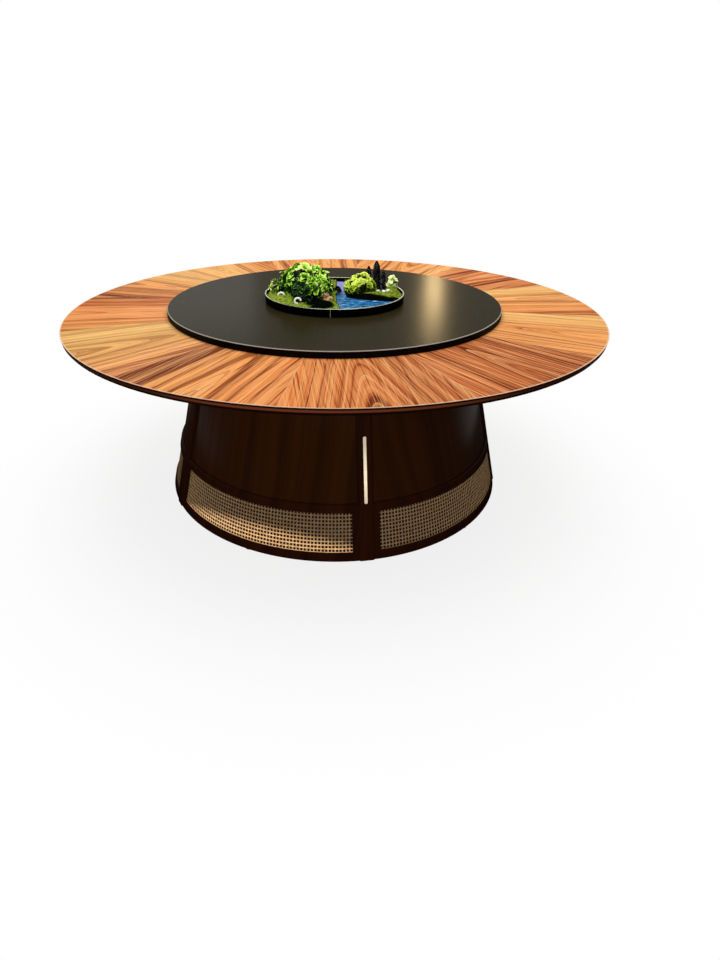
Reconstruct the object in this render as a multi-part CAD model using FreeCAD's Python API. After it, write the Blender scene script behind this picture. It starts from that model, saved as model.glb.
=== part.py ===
import FreeCAD, Part
import math
import os

Vector = FreeCAD.Vector

# A round banquet table on a flared drum, with a turntable and a miniature landscape in a tray.
# Millimetres, +Z up, origin on the floor under the middle; one post stands at the front, towards -Y.
# A turn is an angle about +Z, in degrees, counted from the front towards +X.

FULL_TURN = 360.0
HALF_TURN = 180.0
QUARTER_TURN = 90.0
CENTRE = Vector(0, 0, 0)
UP = Vector(0, 0, 1)

# Overall sizes
table_height = 760.0
top_radius = 1100.0
turntable_radius = 700.0
turntable_rise = 27.0
tray_radius = 297.0
tray_rise = 34.5
drum_floor_radius = 717.0
drum_top_radius = 580.0

# Table top: veneer wedges over a core in two leaves, with a lipping round the edge
veneer_thickness = 1.0
veneer_arris = 0.7
veneer_eye_radius = 15.0
wedge_count = 12
seam_turn = 12.1
core_thickness = 24.0
lipping_width = 24.0
lipping_face_height = 17.0
lipping_undercut = 4.0
lipping_line_depth = 2.0
lipping_line_height = 1.5
lipping_lip_setback = 1.5
lipping_lip_bevel = 4.0

# Drum: five bays between five posts
bay_count = 5
foot_height = 3.0
foot_radius = 12.0
foot_stem_radius = 4.0
foot_stem_length = 20.0
post_width = 54.0
post_depth = 46.0
post_arris = 5.0
frame_inset = 3.0
frame_thickness = 28.0
bottom_rail_height = 30.0
cane_band_height = 143.0
middle_rail_height = 30.0
rail_bevel = 4.0
sill_bevel = 1.5
stile_width = 23.0
tenon_length = 14.0
tenon_shoulder = 8.0
groove_depth = 8.0
groove_ease = 0.2
panel_inset = 12.0
panel_thickness = 9.0
cane_inset = 9.0
cane_thickness = 2.0
backing_inset = 19.0
backing_thickness = 6.0
top_ring_thickness = 30.0
top_ring_width = 110.0
floor_ring_thickness = 18.0
floor_ring_width = 100.0
block_height = 60.0
block_depth = 45.0
block_width = 44.0
beam_width = 40.0
beam_height = 60.0
beam_tongue_length = 30.0
beam_tongue_height = 15.0

# Brass strips, and the posts that carry one, counted from the front
strip_posts = (1,)
strip_bottom = 205.0
strip_length = 244.0
strip_width = 15.0
strip_thickness = 4.0
strip_stand = 1.5
strip_arris = 0.6

# Screws
screw_radius = 2.5
screw_length = 62.0
screw_head_radius = 5.0
screw_head_height = 3.0
ring_screw_inset = 45.0
ring_screws_per_bay = 2
ring_screw_bite_share = 0.7
race_screw_radius = 2.0
race_screw_length = 12.0
race_screw_head_radius = 4.0
race_screw_head_height = 1.5
race_screw_count = 6
race_screw_offset = 19.0

# Joint between the two leaves of the core
pin_radius = 5.0
pin_length = 60.0
pin_seat_shares = (0.165, 0.58, 0.91)
plate_length = 80.0
plate_width = 40.0
plate_thickness = 2.5
plate_seat_shares = (0.24, 0.75)

# Ring bearing and turntable
board_thickness = 15.0
board_arris = 2.5
apron_width = 32.0
apron_running_gap = 2.5
bearing_radius = 300.0
race_half_width = 28.0
race_flange = 2.5
raceway_half_width = 9.0
raceway_half_gap = 1.5
ball_radius = 3.5
ball_ease = 0.3
ball_count = 16
cage_half_width = 8.0
cage_thickness = 1.2

# Tray
tray_floor = 3.0
tray_wall = 5.0
tray_draft = 1.5
tray_rim_height = 2.0
tray_rim_arris = 0.6

# Landscape: heights above the tray's floor, and places as shares of the tray's radius
scenery_turn = -9.7
bank_height = 21.0
water_height = 12.0
tree_height = 165.0
spire_height = 141.0
trunk_radius = 13.0
curl_radius = 12.0
curl_thickness = 4.5
scenery_ease = 0.3
lump_sides = 9
lump_tiers = 6
spire_sides = 5
curl_sides = 6
curl_gap_turn = 80.0
left_shore_shares = (
    (0.03, 1.0),
    (0.03, 0.6),
    (0.05, 0.2),
    (0.02, 0.0),
    (0.03, -0.36),
    (0.07, -0.75),
    (0.07, -1.0),
)
right_shore_shares = (
    (0.16, 1.0),
    (0.17, 0.6),
    (0.17, 0.2),
    (0.18, -0.08),
    (0.36, -0.2),
    (0.55, -0.26),
    (0.75, -0.3),
    (1.0, -0.36),
)
# x, y, and then the half length, half width and height of each low mound of moss
mound_shares = (
    (-0.66, -0.18, 0.24, 0.3, 0.1),
    (-0.16, -0.56, 0.19, 0.19, 0.1),
    (0.62, -0.1, 0.28, 0.12, 0.11),
    (0.84, 0.18, 0.1, 0.3, 0.12),
    (0.55, 0.62, 0.3, 0.2, 0.14),
)
# x, y, height of the middle as a share of the tree's height, half width and half height
crown_shares = (
    (-0.45, -0.04, 0.47, 0.27, 0.28),
    (-0.64, 0.02, 0.4, 0.18, 0.2),
    (-0.19, -0.06, 0.43, 0.18, 0.19),
    (-0.42, -0.29, 0.38, 0.19, 0.2),
    (-0.47, 0.24, 0.42, 0.22, 0.22),
    (-0.2, -0.26, 0.33, 0.15, 0.16),
    (-0.6, -0.16, 0.44, 0.14, 0.15),
    (-0.3, 0.14, 0.5, 0.2, 0.2),
)
bush_shares = (
    (0.38, 0.12, 0.33, 0.17, 0.165),
    (0.25, 0.06, 0.26, 0.12, 0.13),
    (0.5, 0.14, 0.28, 0.11, 0.13),
    (0.44, 0.18, 0.5, 0.06, 0.09),
)
plant_shares = ((-0.87, 0.13, 0.29, 0.085, 0.1), (0.85, 0.24, 0.36, 0.08, 0.085))
# height and width of a spire's rings, from its foot to its tip
spire_taper_shares = ((0, 1), (0.5, 0.85), (0.85, 0.6), (1, 0.2))
# x, y, base radius and height share of each black spire
spire_shares = (
    (0.63, 0.44, 0.062, 1.0),
    (0.52, 0.5, 0.05, 0.82),
    (0.73, 0.41, 0.045, 0.72),
    (0.7, 0.25, 0.09, 0.5),
    (0.57, 0.33, 0.05, 0.4),
    (0.81, 0.33, 0.055, 0.36),
    (0.04, 0.25, 0.08, 0.28),
)
curl_shares = ((-0.75, -0.26), (-0.5, -0.58))
pebble_width_share = 0.8
pebble_height_share = 0.7
# x, y, half width, and how far the middle lies above the bank
pebble_shares = (
    (-0.1, -0.55, 0.055, 0.045),
    (-0.065, -0.43, 0.055, 0.035),
    (-0.13, -0.41, 0.06, 0.08),
    (-0.05, 0.17, 0.035, 0.012),
    (0.64, 0.13, 0.035, 0.012),
    (0.72, 0.1, 0.04, 0.012),
    (0.78, 0.05, 0.035, 0.04),
)

# Places that follow from the sizes
overrun = table_height
core_bottom = table_height - veneer_thickness - core_thickness
veneer_bottom = table_height - veneer_thickness
ring_bottom = core_bottom - top_ring_thickness
top_ring_inner_radius = drum_top_radius - top_ring_width
bottom_rail_top = foot_height + bottom_rail_height
middle_rail_bottom = bottom_rail_top + cane_band_height
middle_rail_top = middle_rail_bottom + middle_rail_height
bay_turn = FULL_TURN / bay_count
post_half = post_width / 2
opening_half = post_half + stile_width
turntable_top = table_height + turntable_rise
board_bottom = turntable_top - board_thickness
ball_height = (table_height + board_bottom) / 2
tray_top = turntable_top + tray_rise
tray_floor_top = turntable_top + tray_floor
tray_inner_radius = tray_radius - tray_draft - tray_wall


def drum_radius(height, inset=0):
    """Radius of the flared wall at a height above the floor, less an inset."""
    flare = (drum_floor_radius - drum_top_radius) / core_bottom
    return drum_floor_radius - flare * height - inset


def turned(shape, turn):
    """A copy of a shape, turned about the table's axis."""
    copy = shape.copy()
    copy.rotate(CENTRE, UP, turn)
    return copy


def polygon_face(points):
    """A flat face through points."""
    return Part.Face(Part.makePolygon(points + points[:1]))


def facing_out(solid):
    """The same solid with its skin facing outwards."""
    if solid.Volume < 0:
        solid.reverse()
    return solid


def lathe(profile, sweep=FULL_TURN):
    """A solid turned about the axis from (radius, height) points, from the front towards +X."""
    face = polygon_face([Vector(0, -radius, height) for radius, height in profile])
    return facing_out(face.revolve(CENTRE, UP, sweep))


def disc_sector(radius, low, high, first_turn, sweep):
    """A flat sector of a disc between two heights."""
    sector = Part.makeCylinder(radius, high - low, Vector(0, 0, low), UP, sweep)
    return turned(sector, first_turn - QUARTER_TURN)


def across(profile, half_width):
    """A prism from (radius, height) points, straight through the radial plane at the front."""
    face = polygon_face([Vector(-half_width, -radius, height) for radius, height in profile])
    return facing_out(face.extrude(Vector(half_width + half_width, 0, 0)))


def slab(half_width, turn):
    """All the space within half_width of the radial plane at a turn."""
    outline = ((0, -overrun), (top_radius, -overrun), (top_radius, overrun), (0, overrun))
    return turned(across(outline, half_width), turn)


def wall_profile(inset, thickness, low, high, bevel=0):
    """Section of the flared wall, with its upper outer corner bevelled where bevel isn't zero."""
    inner = inset + thickness
    points = [(drum_radius(low, inset), low), (drum_radius(high - bevel, inset), high - bevel)]
    if bevel:
        points.append((drum_radius(high, inset + bevel), high))
    points.append((drum_radius(high, inner), high))
    points.append((drum_radius(low, inner), low))
    return points


def bay_wall(inset, thickness, low, high, end_gap, bevel=0):
    """One bay's stretch of the wall, ending parallel to its posts at end_gap from their middles."""
    board = lathe(wall_profile(inset, thickness, low, high, bevel), bay_turn)
    return board.cut([slab(end_gap, 0), slab(end_gap, bay_turn)])


def upper_panel(ease=0):
    """The recessed curved panel, or its grooves with some ease."""
    low = middle_rail_top - groove_depth - ease
    high = ring_bottom + groove_depth + ease
    end_gap = post_half - groove_depth - ease
    return bay_wall(panel_inset - ease, panel_thickness + ease + ease, low, high, end_gap)


def band_sheet(inset, thickness, ease=0):
    """A sheet that stands in grooves of the rails and stiles of the cane band, or its grooves."""
    low = bottom_rail_top - groove_depth - ease
    high = middle_rail_bottom + groove_depth + ease
    end_gap = opening_half - groove_depth - ease
    return bay_wall(inset - ease, thickness + ease + ease, low, high, end_gap)


def rail_tenons(low, high, ease=0):
    """Stub tenons at both ends of a rail, or their mortises."""
    first = low + tenon_shoulder - ease
    last = high - tenon_shoulder + ease
    end_gap = post_half - tenon_length - ease
    return bay_wall(panel_inset - ease, panel_thickness + ease + ease, first, last, end_gap)


def rail(low, high, bevel):
    """A curved rail with its tenons, before its grooves are cut."""
    body = bay_wall(frame_inset, frame_thickness, low, high, post_half, bevel)
    return body.fuse(rail_tenons(low, high)).removeSplitter()


def cane_frame_cuts():
    """The grooves of the cane and of its backing."""
    cane_groove = band_sheet(cane_inset, cane_thickness, groove_ease)
    return [cane_groove, band_sheet(backing_inset, backing_thickness, groove_ease)]


def bottom_rail():
    body = rail(foot_height, bottom_rail_top, sill_bevel)
    return body.cut(cane_frame_cuts() + [turned(foot_stem(frame_inset + frame_thickness), bay_turn / 2)])


def middle_rail():
    body = rail(middle_rail_bottom, middle_rail_top, rail_bevel)
    return body.cut(cane_frame_cuts() + [upper_panel(groove_ease)])


def bay_stiles():
    """The two stiles of one bay, beside its posts."""
    board = bay_wall(frame_inset, frame_thickness, bottom_rail_top, middle_rail_bottom, post_half)
    opening = bay_wall(0, post_depth, bottom_rail_top, middle_rail_bottom, opening_half)
    return board.cut([opening] + cane_frame_cuts())


def brass_strip():
    """The strip at the front post: a bar with round ends that leans with the post's face."""
    half = strip_width / 2
    reach = strip_length / 2 - half
    corners = [Vector(x, 0, z) for x, z in ((-half, -reach), (-half, reach), (half, reach), (half, -reach))]
    top = Vector(0, 0, strip_length / 2)
    edges = [
        Part.makeLine(corners[0], corners[1]),
        Part.Arc(corners[1], top, corners[2]).toShape(),
        Part.makeLine(corners[2], corners[3]),
        Part.Arc(corners[3], -top, corners[0]).toShape(),
    ]
    bar = facing_out(Part.Face(Part.Wire(edges)).extrude(Vector(0, strip_thickness, 0)))
    outer = [edge for edge in bar.Edges if edge.BoundBox.YMax < strip_thickness / 2]
    bar = bar.makeChamfer(strip_arris, outer)
    middle = strip_bottom + strip_length / 2
    lean = math.degrees(math.atan2(drum_floor_radius - drum_top_radius, core_bottom))
    bar.translate(Vector(0, -strip_stand, 0))
    bar.rotate(CENTRE, Vector(1, 0, 0), -lean)
    bar.translate(Vector(0, -drum_radius(middle), middle))
    return bar


def foot_stem(depth):
    """The threaded stem of a levelling foot under a piece of a given depth."""
    place = Vector(0, -drum_radius(foot_height, depth / 2), foot_height)
    return Part.makeCylinder(foot_stem_radius, foot_stem_length, place)


def levelling_foot(depth):
    """A round foot with its stem, under the front."""
    disc = Part.makeCylinder(foot_radius, foot_height, Vector(0, -drum_radius(foot_height, depth / 2), 0))
    return disc.fuse(foot_stem(depth)).removeSplitter()


def post():
    """The front post: eased outer arrises, mortises and panel grooves, still without a strip's slot."""
    blank = across(wall_profile(0, post_depth, foot_height, ring_bottom), post_half)
    middle = drum_radius(ring_bottom, post_depth / 2)
    arrises = [e for e in blank.Edges if e.BoundBox.ZLength > block_height and e.BoundBox.YMax < -middle]
    blank = blank.makeFillet(post_arris, arrises)
    joints = [upper_panel(groove_ease)]
    joints.append(rail_tenons(foot_height, bottom_rail_top, groove_ease))
    joints.append(rail_tenons(middle_rail_bottom, middle_rail_top, groove_ease))
    cuts = joints + [turned(joint, -bay_turn) for joint in joints]
    cuts.append(foot_stem(post_depth))
    return blank.cut(cuts + [block_screw(low) for low in block_heights()])


def block_heights():
    """Heights of the undersides of the two corner blocks behind each post."""
    return (foot_height + floor_ring_thickness, ring_bottom - block_height)


def corner_block(low):
    """A glue block behind the front post, cut to the slope of its back."""
    high = low + block_height
    inner = drum_radius(high, post_depth + block_depth)
    outline = [(drum_radius(low, post_depth), low), (drum_radius(high, post_depth), high), (inner, high), (inner, low)]
    return across(outline, block_width / 2).cut(block_screw(low))


def wood_screw():
    """A pan-head screw that points along +Z, with its head's seat at the origin."""
    shank = Part.makeCylinder(screw_radius, screw_length)
    head = Part.makeCylinder(screw_head_radius, screw_head_height, Vector(0, 0, -screw_head_height))
    return head.fuse(shank).removeSplitter()


def block_screw(low):
    """The screw through the front post's corner block into the post."""
    screw = wood_screw()
    screw.rotate(CENTRE, Vector(1, 0, 0), QUARTER_TURN)
    high = low + block_height
    screw.translate(Vector(0, -drum_radius(high, post_depth + block_depth), low + block_height / 2))
    return screw


def ring_screws():
    """Screws up through the top ring into the core, between the posts."""
    step = bay_turn / ring_screws_per_bay
    count = bay_count * ring_screws_per_bay
    screw = wood_screw()
    seat = core_bottom + core_thickness * ring_screw_bite_share - screw_length
    screw.translate(Vector(0, -(drum_top_radius - ring_screw_inset), seat))
    return [turned(screw, step * (index + 0.5)) for index in range(count)]


def beam_turns():
    """The two cross beams lie at 45 degrees to the joint of the leaves."""
    return (seam_turn + QUARTER_TURN / 2, seam_turn - QUARTER_TURN / 2)


def beam_tongues(ease=0):
    """The reduced ends of a beam along Y, which lie in housings of the top ring."""
    half_width = beam_width / 2 + ease
    reach = top_ring_inner_radius + beam_tongue_length + ease
    low = core_bottom - beam_tongue_height - ease
    return across([(-reach, low), (reach, low), (reach, core_bottom), (-reach, core_bottom)], half_width)


def cross_beam(lap_low, lap_high, turn):
    """A beam under the core with a half lap at its middle, between two heights."""
    low = core_bottom - beam_height
    reach = top_ring_inner_radius
    outline = [(-reach, low), (reach, low), (reach, core_bottom), (-reach, core_bottom)]
    inside = Part.makeCylinder(reach, overrun, CENTRE)
    beam = across(outline, beam_width / 2).common(inside).fuse(beam_tongues()).removeSplitter()
    half = beam_width / 2
    lap = across([(-half, lap_low), (half, lap_low), (half, lap_high), (-half, lap_high)], overrun)
    return turned(beam.cut(lap), turn)


def drum_top_ring():
    """The plywood ring on the posts, grooved for the panels and housed for the beams."""
    outline = [(drum_radius(ring_bottom), ring_bottom), (drum_radius(core_bottom), core_bottom)]
    outline += [(top_ring_inner_radius, core_bottom), (top_ring_inner_radius, ring_bottom)]
    depth = ring_bottom + groove_depth + groove_ease
    groove = wall_profile(panel_inset - groove_ease, panel_thickness + groove_ease * 2, ring_bottom, depth)
    housings = [turned(beam_tongues(groove_ease), turn) for turn in beam_turns()]
    return lathe(outline).cut([lathe(groove)] + housings + ring_screws())


def drum_floor_ring(posts):
    """The ring inside the foot of the drum, let in round the posts."""
    depth = frame_inset + frame_thickness
    high = foot_height + floor_ring_thickness
    return lathe(wall_profile(depth, floor_ring_width, foot_height, high)).cut(posts)


def lipping_profile():
    """Section of the edge lipping: undercut face, fine line, set-back lower lip."""
    inner = top_radius - lipping_width
    face_foot = top_radius - lipping_undercut
    line_top = veneer_bottom - lipping_face_height
    lip_top = line_top - lipping_line_height
    lip = face_foot - lipping_lip_setback
    return [
        (inner, veneer_bottom),
        (top_radius, veneer_bottom),
        (face_foot, line_top),
        (face_foot - lipping_line_depth, line_top),
        (face_foot - lipping_line_depth, lip_top),
        (lip, lip_top),
        (lip - lipping_lip_bevel, core_bottom),
        (inner, core_bottom),
    ]


def veneer_wedge(first_turn):
    """One wedge of face veneer with a fine arris, open at the eye."""
    edge = top_radius - veneer_arris
    outline = [(veneer_eye_radius, veneer_bottom), (top_radius, veneer_bottom)]
    outline += [(edge, table_height), (veneer_eye_radius, table_height)]
    return turned(lathe(outline, FULL_TURN / wedge_count), first_turn)


def leaf_connectors():
    """Alignment pins in the joint of the leaves, and steel plates that tie them from below."""
    pieces = []
    for side in (seam_turn, seam_turn + HALF_TURN):
        for share in pin_seat_shares:
            place = Vector(-pin_length / 2, -top_radius * share, core_bottom + core_thickness / 2)
            pin = Part.makeCylinder(pin_radius, pin_length, place, Vector(1, 0, 0))
            pieces.append(turned(pin, side))
        for share in plate_seat_shares:
            low = core_bottom - plate_thickness
            near = top_radius * share - plate_width / 2
            far = near + plate_width
            outline = [(near, low), (far, low), (far, core_bottom), (near, core_bottom)]
            pieces.append(turned(across(outline, plate_length / 2), side))
    return pieces


def race_outline(sign):
    """Section of a bearing race with its V raceway; sign is 1 for the lower race, -1 for the upper."""
    half_height = board_bottom - ball_height
    notch = (ball_radius + ball_ease) * math.sqrt(2)
    notch_half = notch - raceway_half_gap
    outline = [
        (-race_half_width, half_height),
        (race_half_width, half_height),
        (race_half_width, half_height - race_flange),
        (raceway_half_width, half_height - race_flange),
        (raceway_half_width, raceway_half_gap),
        (notch_half, raceway_half_gap),
        (0, notch),
        (-notch_half, raceway_half_gap),
        (-raceway_half_width, raceway_half_gap),
        (-raceway_half_width, half_height - race_flange),
        (-race_half_width, half_height - race_flange),
    ]
    return [(bearing_radius + offset, ball_height - sign * depth) for offset, depth in outline]


def ball_places():
    """The middles of the balls, evenly round the bearing."""
    first = Vector(0, -bearing_radius, ball_height)
    turns = [FULL_TURN * index / ball_count for index in range(ball_count)]
    return [FreeCAD.Rotation(UP, turn).multVec(first) for turn in turns]


def race_screws(sign):
    """Screws in a race's flange: down into the core for 1, up into the board for -1."""
    shank = Part.makeCylinder(race_screw_radius, race_screw_length)
    head = Part.makeCylinder(race_screw_head_radius, race_screw_head_height, Vector(0, 0, -race_screw_head_height))
    screw = head.fuse(shank).removeSplitter()
    if sign > 0:
        screw.rotate(CENTRE, Vector(1, 0, 0), HALF_TURN)
    seat = ball_height - sign * (board_bottom - ball_height - race_flange)
    screw.translate(Vector(0, -(bearing_radius - sign * race_screw_offset), seat))
    return [turned(screw, FULL_TURN * index / race_screw_count) for index in range(race_screw_count)]


def turntable_board():
    """The turntable's board, with a bevelled upper arris."""
    outline = [
        (0, board_bottom),
        (turntable_radius, board_bottom),
        (turntable_radius, turntable_top - board_arris),
        (turntable_radius - board_arris, turntable_top),
        (0, turntable_top),
    ]
    return lathe(outline)


def turntable_apron():
    """The ring glued under the board, which makes its side deep."""
    inner = turntable_radius - apron_width
    low = table_height + apron_running_gap
    return lathe([(inner, low), (turntable_radius, low), (turntable_radius, board_bottom), (inner, board_bottom)])


def tray_pan():
    """The tray: a flat floor and a wall that leans out a little."""
    foot = tray_radius - tray_draft
    wall_top = tray_top - tray_rim_height
    outline = [(0, turntable_top), (foot, turntable_top), (tray_radius, wall_top), (tray_radius - tray_wall, wall_top)]
    return lathe(outline + [(tray_inner_radius, tray_floor_top), (0, tray_floor_top)])


def tray_rim():
    """The bright rim on the tray's wall."""
    low = tray_top - tray_rim_height
    inner = tray_radius - tray_wall
    arris = tray_rim_arris
    outline = [(inner, low), (tray_radius, low), (tray_radius, tray_top - arris), (tray_radius - arris, tray_top)]
    return lathe(outline + [(inner + arris, tray_top), (inner, tray_top - arris)])


def skinned(rings):
    """A solid through stacked rings of points, closed by its first and last ring."""
    faces = [polygon_face(rings[0]), polygon_face(rings[-1])]
    for lower, upper in zip(rings, rings[1:]):
        for index in range(len(lower)):
            after = (index + 1) % len(lower)
            faces.append(polygon_face([lower[index], lower[after], upper[after], upper[index]]))
    shell = Part.makeShell(faces)
    shell.sewShape()
    return facing_out(Part.Solid(shell))


def level_ring(x, y, z, half_x, half_y, sides, phase=0):
    """Points round a level ellipse."""
    angles = [2 * math.pi * (index + phase) / sides for index in range(sides)]
    return [Vector(x + half_x * math.cos(angle), y + half_y * math.sin(angle), z) for angle in angles]


def lump(x, y, z, half_x, half_y, half_z, phase=0):
    """A faceted ellipsoid, such as a clump of leaves or a pebble."""
    rings = []
    for tier in range(lump_tiers):
        polar = math.pi * (tier + 0.5) / lump_tiers
        ring_x = half_x * math.sin(polar)
        ring_y = half_y * math.sin(polar)
        rings.append(level_ring(x, y, z - half_z * math.cos(polar), ring_x, ring_y, lump_sides, phase))
    return skinned(rings)


def clump(shares):
    """Lumps of leaves, joined where they meet; heights are shares of the tree's height."""
    lumps = []
    for index, (x, y, z, wide, tall) in enumerate(shares):
        half = tray_radius * wide
        height = tray_floor_top + tree_height * z
        place = (tray_radius * x, tray_radius * y, height)
        lumps.append(lump(*place, half, half, tray_radius * tall, index / len(shares)))
    return lumps[0].multiFuse(lumps[1:]).removeSplitter() if lumps[1:] else lumps[0]


def basin(high):
    """The inside of the tray up to a height above its floor."""
    return Part.makeCylinder(tray_inner_radius - scenery_ease, high, Vector(0, 0, tray_floor_top))


def shore_prism(shares, side):
    """All that lies on one side of a shore: -1 for the left, 1 for the right."""
    shore = [Vector(tray_radius * x, tray_radius * y, tray_floor_top) for x, y in shares]
    far = side * top_radius
    points = shore + [Vector(far, shore[-1].y, tray_floor_top), Vector(far, shore[0].y, tray_floor_top)]
    return facing_out(polygon_face(points).extrude(Vector(0, 0, tree_height)))


def moss_banks():
    """The two banks: level ground with low mounds, clipped to the tray and the shores."""
    ground = basin(bank_height)
    mounds = []
    for x, y, half_x, half_y, tall in mound_shares:
        place = (tray_radius * x, tray_radius * y, tray_floor_top + bank_height - scenery_ease)
        mounds.append(lump(*place, tray_radius * half_x, tray_radius * half_y, tray_radius * tall / 2))
    mounds = [mound.common(basin(tree_height)) for mound in mounds]
    land = ground.multiFuse(mounds)
    left = land.common(shore_prism(left_shore_shares, -1))
    right = land.common(shore_prism(right_shore_shares, 1))
    return left, right


def tree_trunk():
    """A bent trunk with two branches that reach into the crown."""
    x, y, share = crown_shares[0][:3]
    foot = (tray_radius * x, tray_radius * y, tray_floor_top)
    fork = tray_floor_top + tree_height * share / 2
    bend = trunk_radius / 2
    stem_top = level_ring(foot[0] + bend, foot[1], fork, trunk_radius / 2, trunk_radius / 2, lump_sides)
    stem = skinned([level_ring(*foot, trunk_radius, trunk_radius, lump_sides), stem_top])
    limbs = []
    for side in (-1, 1):
        tip_x = foot[0] + bend + side * trunk_radius * 2
        tip = level_ring(tip_x, foot[1], fork * 2 - tray_floor_top - bend, bend / 2, bend / 2, lump_sides)
        low = level_ring(foot[0] + bend, foot[1], fork - bend, bend, bend, lump_sides)
        limbs.append(skinned([low, tip]))
    return stem.multiFuse(limbs).removeSplitter()


def dark_rocks():
    """Black spires and low rocks, each drawn in towards its tip."""
    rocks = []
    for index, (x, y, wide, tall) in enumerate(spire_shares):
        place = (tray_radius * x, tray_radius * y)
        base = tray_radius * wide
        rings = []
        for up_share, wide_share in spire_taper_shares:
            height = tray_floor_top + spire_height * tall * up_share
            rings.append(level_ring(*place, height, base * wide_share, base * wide_share, spire_sides, index / 3))
        rocks.append(skinned(rings))
    return rocks[0].multiFuse(rocks[1:]).removeSplitter()


def stones():
    """Two white curled stones on the left bank, and pebbles, each cut to lie on those before it."""
    pieces = []
    section = []
    for index in range(curl_sides):
        angle = 2 * math.pi * index / curl_sides
        across_section = curl_radius + curl_thickness * math.cos(angle)
        section.append(Vector(across_section, 0, curl_thickness * math.sin(angle)))
    curl = facing_out(polygon_face(section).revolve(CENTRE, UP, FULL_TURN - curl_gap_turn))
    curl.rotate(CENTRE, Vector(1, 0, 0), QUARTER_TURN)
    for x, y in curl_shares:
        piece = curl.copy()
        ground = tray_floor_top + bank_height + curl_radius
        piece.translate(Vector(tray_radius * x, tray_radius * y, ground))
        pieces.append(piece)
    for x, y, wide, lift in pebble_shares:
        half = tray_radius * wide
        place = (tray_radius * x, tray_radius * y, tray_floor_top + bank_height + tray_radius * lift)
        pebble = lump(*place, half, half * pebble_width_share, half * pebble_height_share)
        pieces.append(pebble.cut(pieces))
    return Part.Compound(pieces)


def group(shapes):
    """One shape that holds all the solids of several, kept apart."""
    return Part.Compound([solid for shape in shapes for solid in shape.Solids])


def all_round(shape):
    """Copies of a front shape at every post."""
    return [turned(shape, bay_turn * index) for index in range(bay_count)]


def drum_nodes():
    """The drum's posts, rails, panels, rings, blocks and feet."""
    nodes = {}
    strips = [turned(brass_strip(), bay_turn * (number - 1)) for number in strip_posts]
    posts = [blank.cut(strips) for blank in all_round(post())]
    for index in range(bay_count):
        nodes[f"post_{index + 1}"] = posts[index]
    bays = {"upper_panel": upper_panel(), "middle_rail": middle_rail(), "bottom_rail": bottom_rail()}
    bays["cane_panel"] = band_sheet(cane_inset, cane_thickness)
    for name, shape in bays.items():
        for index, copy in enumerate(all_round(shape)):
            nodes[f"{name}_{index + 1}"] = copy
    nodes["cane_stiles"] = group(all_round(bay_stiles()))
    nodes["cane_backings"] = group(all_round(band_sheet(backing_inset, backing_thickness)))
    nodes["brass_strips"] = group(strips)
    nodes["drum_top_ring"] = drum_top_ring()
    nodes["drum_floor_ring"] = drum_floor_ring(posts)
    blocks = [corner_block(low) for low in block_heights()]
    nodes["corner_blocks"] = group([copy for block in blocks for copy in all_round(block)])
    screws = [copy for low in block_heights() for copy in all_round(block_screw(low))]
    nodes["wood_screws"] = group(screws + ring_screws())
    rail_foot = turned(levelling_foot(frame_inset + frame_thickness), bay_turn / 2)
    nodes["levelling_feet"] = group(all_round(levelling_foot(post_depth)) + all_round(rail_foot))
    lap = core_bottom - beam_height / 2
    first, second = beam_turns()
    nodes["cross_beam_upper"] = cross_beam(core_bottom - beam_height, lap, first)
    nodes["cross_beam_lower"] = cross_beam(lap, core_bottom, second)
    return nodes


def top_nodes():
    """The table top's core, lipping, veneer and connectors, leaf by leaf."""
    nodes = {}
    connectors = leaf_connectors()
    nodes["leaf_connectors"] = group(connectors)
    holes = connectors + ring_screws() + race_screws(1)
    wedge_turn = FULL_TURN / wedge_count
    for name, first in (("right", seam_turn), ("left", seam_turn + HALF_TURN)):
        core = disc_sector(top_radius - lipping_width, core_bottom, veneer_bottom, first, HALF_TURN)
        nodes[f"top_core_{name}"] = core.cut(holes)
        nodes[f"edge_lipping_{name}"] = turned(lathe(lipping_profile(), HALF_TURN), first)
        wedges = [veneer_wedge(first + wedge_turn * index) for index in range(wedge_count // 2)]
        nodes[f"veneer_{name}"] = group([wedge.cut(race_screws(1)) for wedge in wedges])
    return nodes


def turntable_nodes():
    """The ring bearing, its screws, and the turntable."""
    cage_low = ball_height - cage_thickness / 2
    cage_high = ball_height + cage_thickness / 2
    near = bearing_radius - cage_half_width
    far = bearing_radius + cage_half_width
    cage = lathe([(near, cage_low), (far, cage_low), (far, cage_high), (near, cage_high)])
    windows = []
    for place in ball_places():
        start = Vector(place.x, place.y, cage_low - cage_thickness)
        windows.append(Part.makeCylinder(ball_radius + ball_ease, cage_thickness * 3, start))
    return {
        "bearing_lower_race": lathe(race_outline(1)).cut(race_screws(1)),
        "bearing_upper_race": lathe(race_outline(-1)).cut(race_screws(-1)),
        "ball_cage": cage.cut(windows),
        "bearing_balls": group([Part.makeSphere(ball_radius, place) for place in ball_places()]),
        "race_screws_lower": group(race_screws(1)),
        "race_screws_upper": group(race_screws(-1)),
        "turntable_board": turntable_board().cut(race_screws(-1)),
        "turntable_apron": turntable_apron(),
    }


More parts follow.
